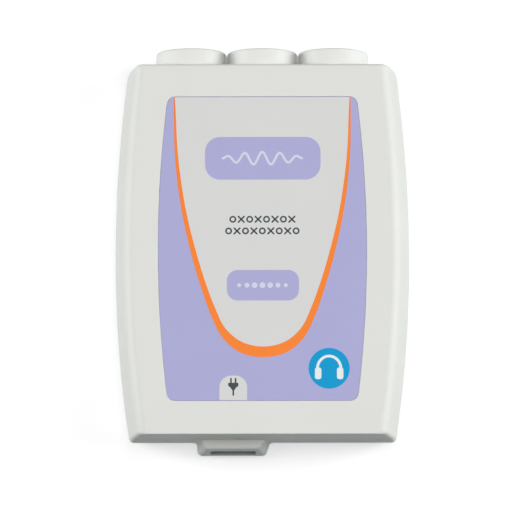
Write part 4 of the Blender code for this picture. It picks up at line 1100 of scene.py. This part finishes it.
# Tone burst in the upper badge, growing and fading dots in the lower one
def printBadges():
    upper, lower = prints["toneBadge"], prints["levelBadge"]
    badges = [halves(rounded(rectangle(badge["x"], badge["y"], *badge["size"]), badge["corner"]))
              for badge in (upper, lower)]
    printInk("badgePrint", badges, "over", lilacFilm)
    tone, dots = prints["tone"], prints["dots"]
    wave = []
    for step in range(tone["steps"] + 1):
        share = step / tone["steps"]
        swing = math.sin(math.pi * share) ** tone["swell"] * math.sin(share * tone["swings"] * 2 * math.pi)
        wave.append((tone["length"] * (share - 0.5), upper["y"] + tone["height"] * swing))
    shapes = [stroke(wave, tone["width"])]
    for offset in range(-3, 4):
        radius = dots["least"] + dots["growth"] * math.cos(offset * dots["fade"])
        shapes.append(halves(circle(radius, dots["steps"], (offset * dots["pitch"], lower["y"]))))
    printInk("badgeMarkPrint", shapes, "top", badgeInk)


# A cross as one full stroke and two that stop short of it
def crossSign(x, y, half, width):
    near, far = width * 0.5, half - width * 0.4
    return [stroke([(x - far, y + far), (x - near, y + near)], width),
            stroke([(x + near, y - near), (x + far, y - far)], width),
            stroke([(x - far, y - far), (x + far, y + far)], width)]


def ringSign(x, y, half, width):
    ring, hole = (circle(radius, prints["marks"]["steps"], (x, y)) for radius in (half, half - width))
    return [list(zip(ring + ring[:1], hole + hole[:1]))]


# Two rows of plain rings and crosses, the usual signs of a hearing chart, and a plain plug over the socket
def printSigns():
    marks, plug, tab = prints["marks"], prints["plug"], prints["tab"]
    shapes = []
    for y, count in marks["rows"]:
        for index in range(count):
            x = (index - (count - 1) / 2) * marks["pitch"]
            sign = crossSign if index % 2 else ringSign
            shapes += sign(x, y, marks["size"] / 2, marks["width"])
    x, y = tab["x"], tab["top"] - plug["drop"]
    aside, rise = plug["prong"]
    for side in (-1, 1):
        shapes.append(halves(rectangle(x + side * aside, y + rise, *plug["prongSize"])))
    top = y + plug["top"]
    shapes.append([((x - half, top - down), (x + half, top - down)) for down, half in plug["body"]])
    printInk("charcoalPrint", shapes, "over", charcoalInk)


def printHeadset():
    (hubX, hubY), headset = prints["disc"]["place"], prints["headset"]
    (wide, high), steps = headset["arch"], headset["archSteps"]
    turns = [math.pi * step / steps for step in range(steps + 1)]
    archY = hubY - headset["archDrop"]
    arch = [(hubX + wide * math.cos(turn), archY + high * math.sin(turn)) for turn in turns]
    printInk("headsetArchPrint", [stroke(arch, headset["archWidth"])], "over", whiteInk)
    aside, drop = headset["cup"]
    cups = [rectangle(hubX + side * aside, hubY - drop, *headset["cupSize"]) for side in (-1, 1)]
    printInk("headsetCupPrint", [halves(rounded(cup, headset["cupCorner"])) for cup in cups], "top", whiteInk)


makeFilm()
printField()
printTabAndDisc()
printBadges()
printSigns()
printHeadset()
print("label ready")

# Finishes on the solids that stay
finishOf = {"main_board": boardFinish, "power_converter": pottingResin, "crystal_can": nickelPlate,
            "capacitor_1": tinPlate, "capacitor_2": tinPlate}
for jackName, _ in jackPlaces:
    finishOf[jackName + "_jack_body"] = blackMoulding
    finishOf[jackName + "_tip_spring"] = springBronze
    finishOf[jackName + "_rest_contact"] = tinPlate
for number in range(1, 5):
    finishOf[f"board_screw_{number}"] = zincPlate
for chip in ("processor", "codec", "amplifier", "isolator", "memory"):
    finishOf[chip + "_chip"] = chipFinish
for nodeName, finish in finishOf.items():
    solid = nodes[nodeName]
    solid.data.materials.clear()
    solid.data.materials.append(finish)
print("solids finished:", len(finishOf))

# Floor, light and camera
studio = {
    "floorSize": 8.0,
    "floorBounce": (0.19, 0.25, 0.255),  # how much light the floor sends back
    "floorLook": (0.6, 0.6, 0.6),  # the same for what the camera sees
    "floorGlow": (0.53, 1.0),  # and what is added there, near and far
    "floorReach": (0.2, 0.7),  # where it turns from near to far
    "ambient": 0.13,
    "lamps": {  # name: place, size, power
        "overhead": ((0.05, -0.08, 1.15), 0.4, 2.7),
        "left": ((-0.75, 0.03, 0.85), 0.6, 2.4),
        "right": ((0.75, 0.03, 0.85), 0.6, 2.5),
        "low left": ((-1.0, 0.12, 0.36), 0.5, 6.0),
        "low right": ((1.0, 0.12, 0.36), 0.5, 7.2),
    },
}
shot = {"aim": (0.00097, -0.0064, 0.032), "tilt": 8.6, "roll": -0.08, "distance": 2.4, "width": 0.1978,
        "sensor": 36.0, "farthest": 50.0}


def makeFloor():
    size = studio["floorSize"]
    floor = addMesh("floor", flatRing(rectangle(0.0, 0.0, size, size), 0.0), [(0, 1, 2, 3)])
    graph = Graph(bpy.data.materials.new("white studio floor"))
    graph.tree.nodes.remove(graph.tree.nodes["Principled BSDF"])
    seen = graph.seenDirectly()
    tint = graph.mixed(seen, studio["floorBounce"], studio["floorLook"])
    diffuse = graph.add("BsdfDiffuse", {"Color": tint})
    away = graph.add("VectorMath", {0: graph.objectPlace()}, operation="LENGTH").outputs["Value"]
    fade = graph.spread(away, *studio["floorGlow"], *studio["floorReach"])
    glow = graph.add("Emission", {"Strength": graph.figure("MULTIPLY", seen, fade)})
    both = graph.add("AddShader", {0: diffuse.outputs[0], 1: glow.outputs[0]})
    graph.feed(both.outputs[0], graph.tree.nodes["Material Output"].inputs["Surface"])
    floor.data.materials.append(graph.owner)


def makeWorld():
    world = bpy.data.worlds.new("plain studio")
    bpy.context.scene.world = world
    graph = Graph(world)
    back = graph.tree.nodes["Background"]
    graph.feed((1.0, 1.0, 1.0, 1.0), back.inputs["Color"])
    strength = graph.spread(graph.seenDirectly(), studio["ambient"], 1.0, 0.0, 1.0)
    graph.feed(strength, back.inputs["Strength"])


def makeLamp(name, place, size, power):
    lamp = bpy.data.lights.new(name, "AREA")
    lamp.shape = "DISK"
    lamp.size = size
    lamp.energy = power
    holder = bpy.data.objects.new(name, lamp)
    bpy.context.scene.collection.objects.link(holder)
    holder.location = place
    holder.rotation_euler = (-Vector(place)).to_track_quat("-Z", "Y").to_euler()


def makeCamera():
    tilt = math.radians(shot["tilt"])
    lens = bpy.data.cameras.new("camera")
    lens.sensor_width = shot["sensor"]
    lens.lens = shot["sensor"] * shot["distance"] / shot["width"]
    lens.clip_end = shot["farthest"]
    camera = bpy.data.objects.new("camera", lens)
    bpy.context.scene.collection.objects.link(camera)
    back = Vector((0.0, -math.sin(tilt), math.cos(tilt)))
    camera.location = Vector(shot["aim"]) + back * shot["distance"]
    turned = Matrix.Rotation(tilt, 4, "X") @ Matrix.Rotation(math.radians(shot["roll"]), 4, "Z")
    camera.rotation_euler = turned.to_euler()
    bpy.context.scene.camera = camera


makeFloor()
makeWorld()
for lampName, (lampPlace, lampSize, lampPower) in studio["lamps"].items():
    makeLamp(lampName, lampPlace, lampSize, lampPower)
makeCamera()
bpy.context.scene.view_settings.view_transform = "Standard"
print("studio ready")
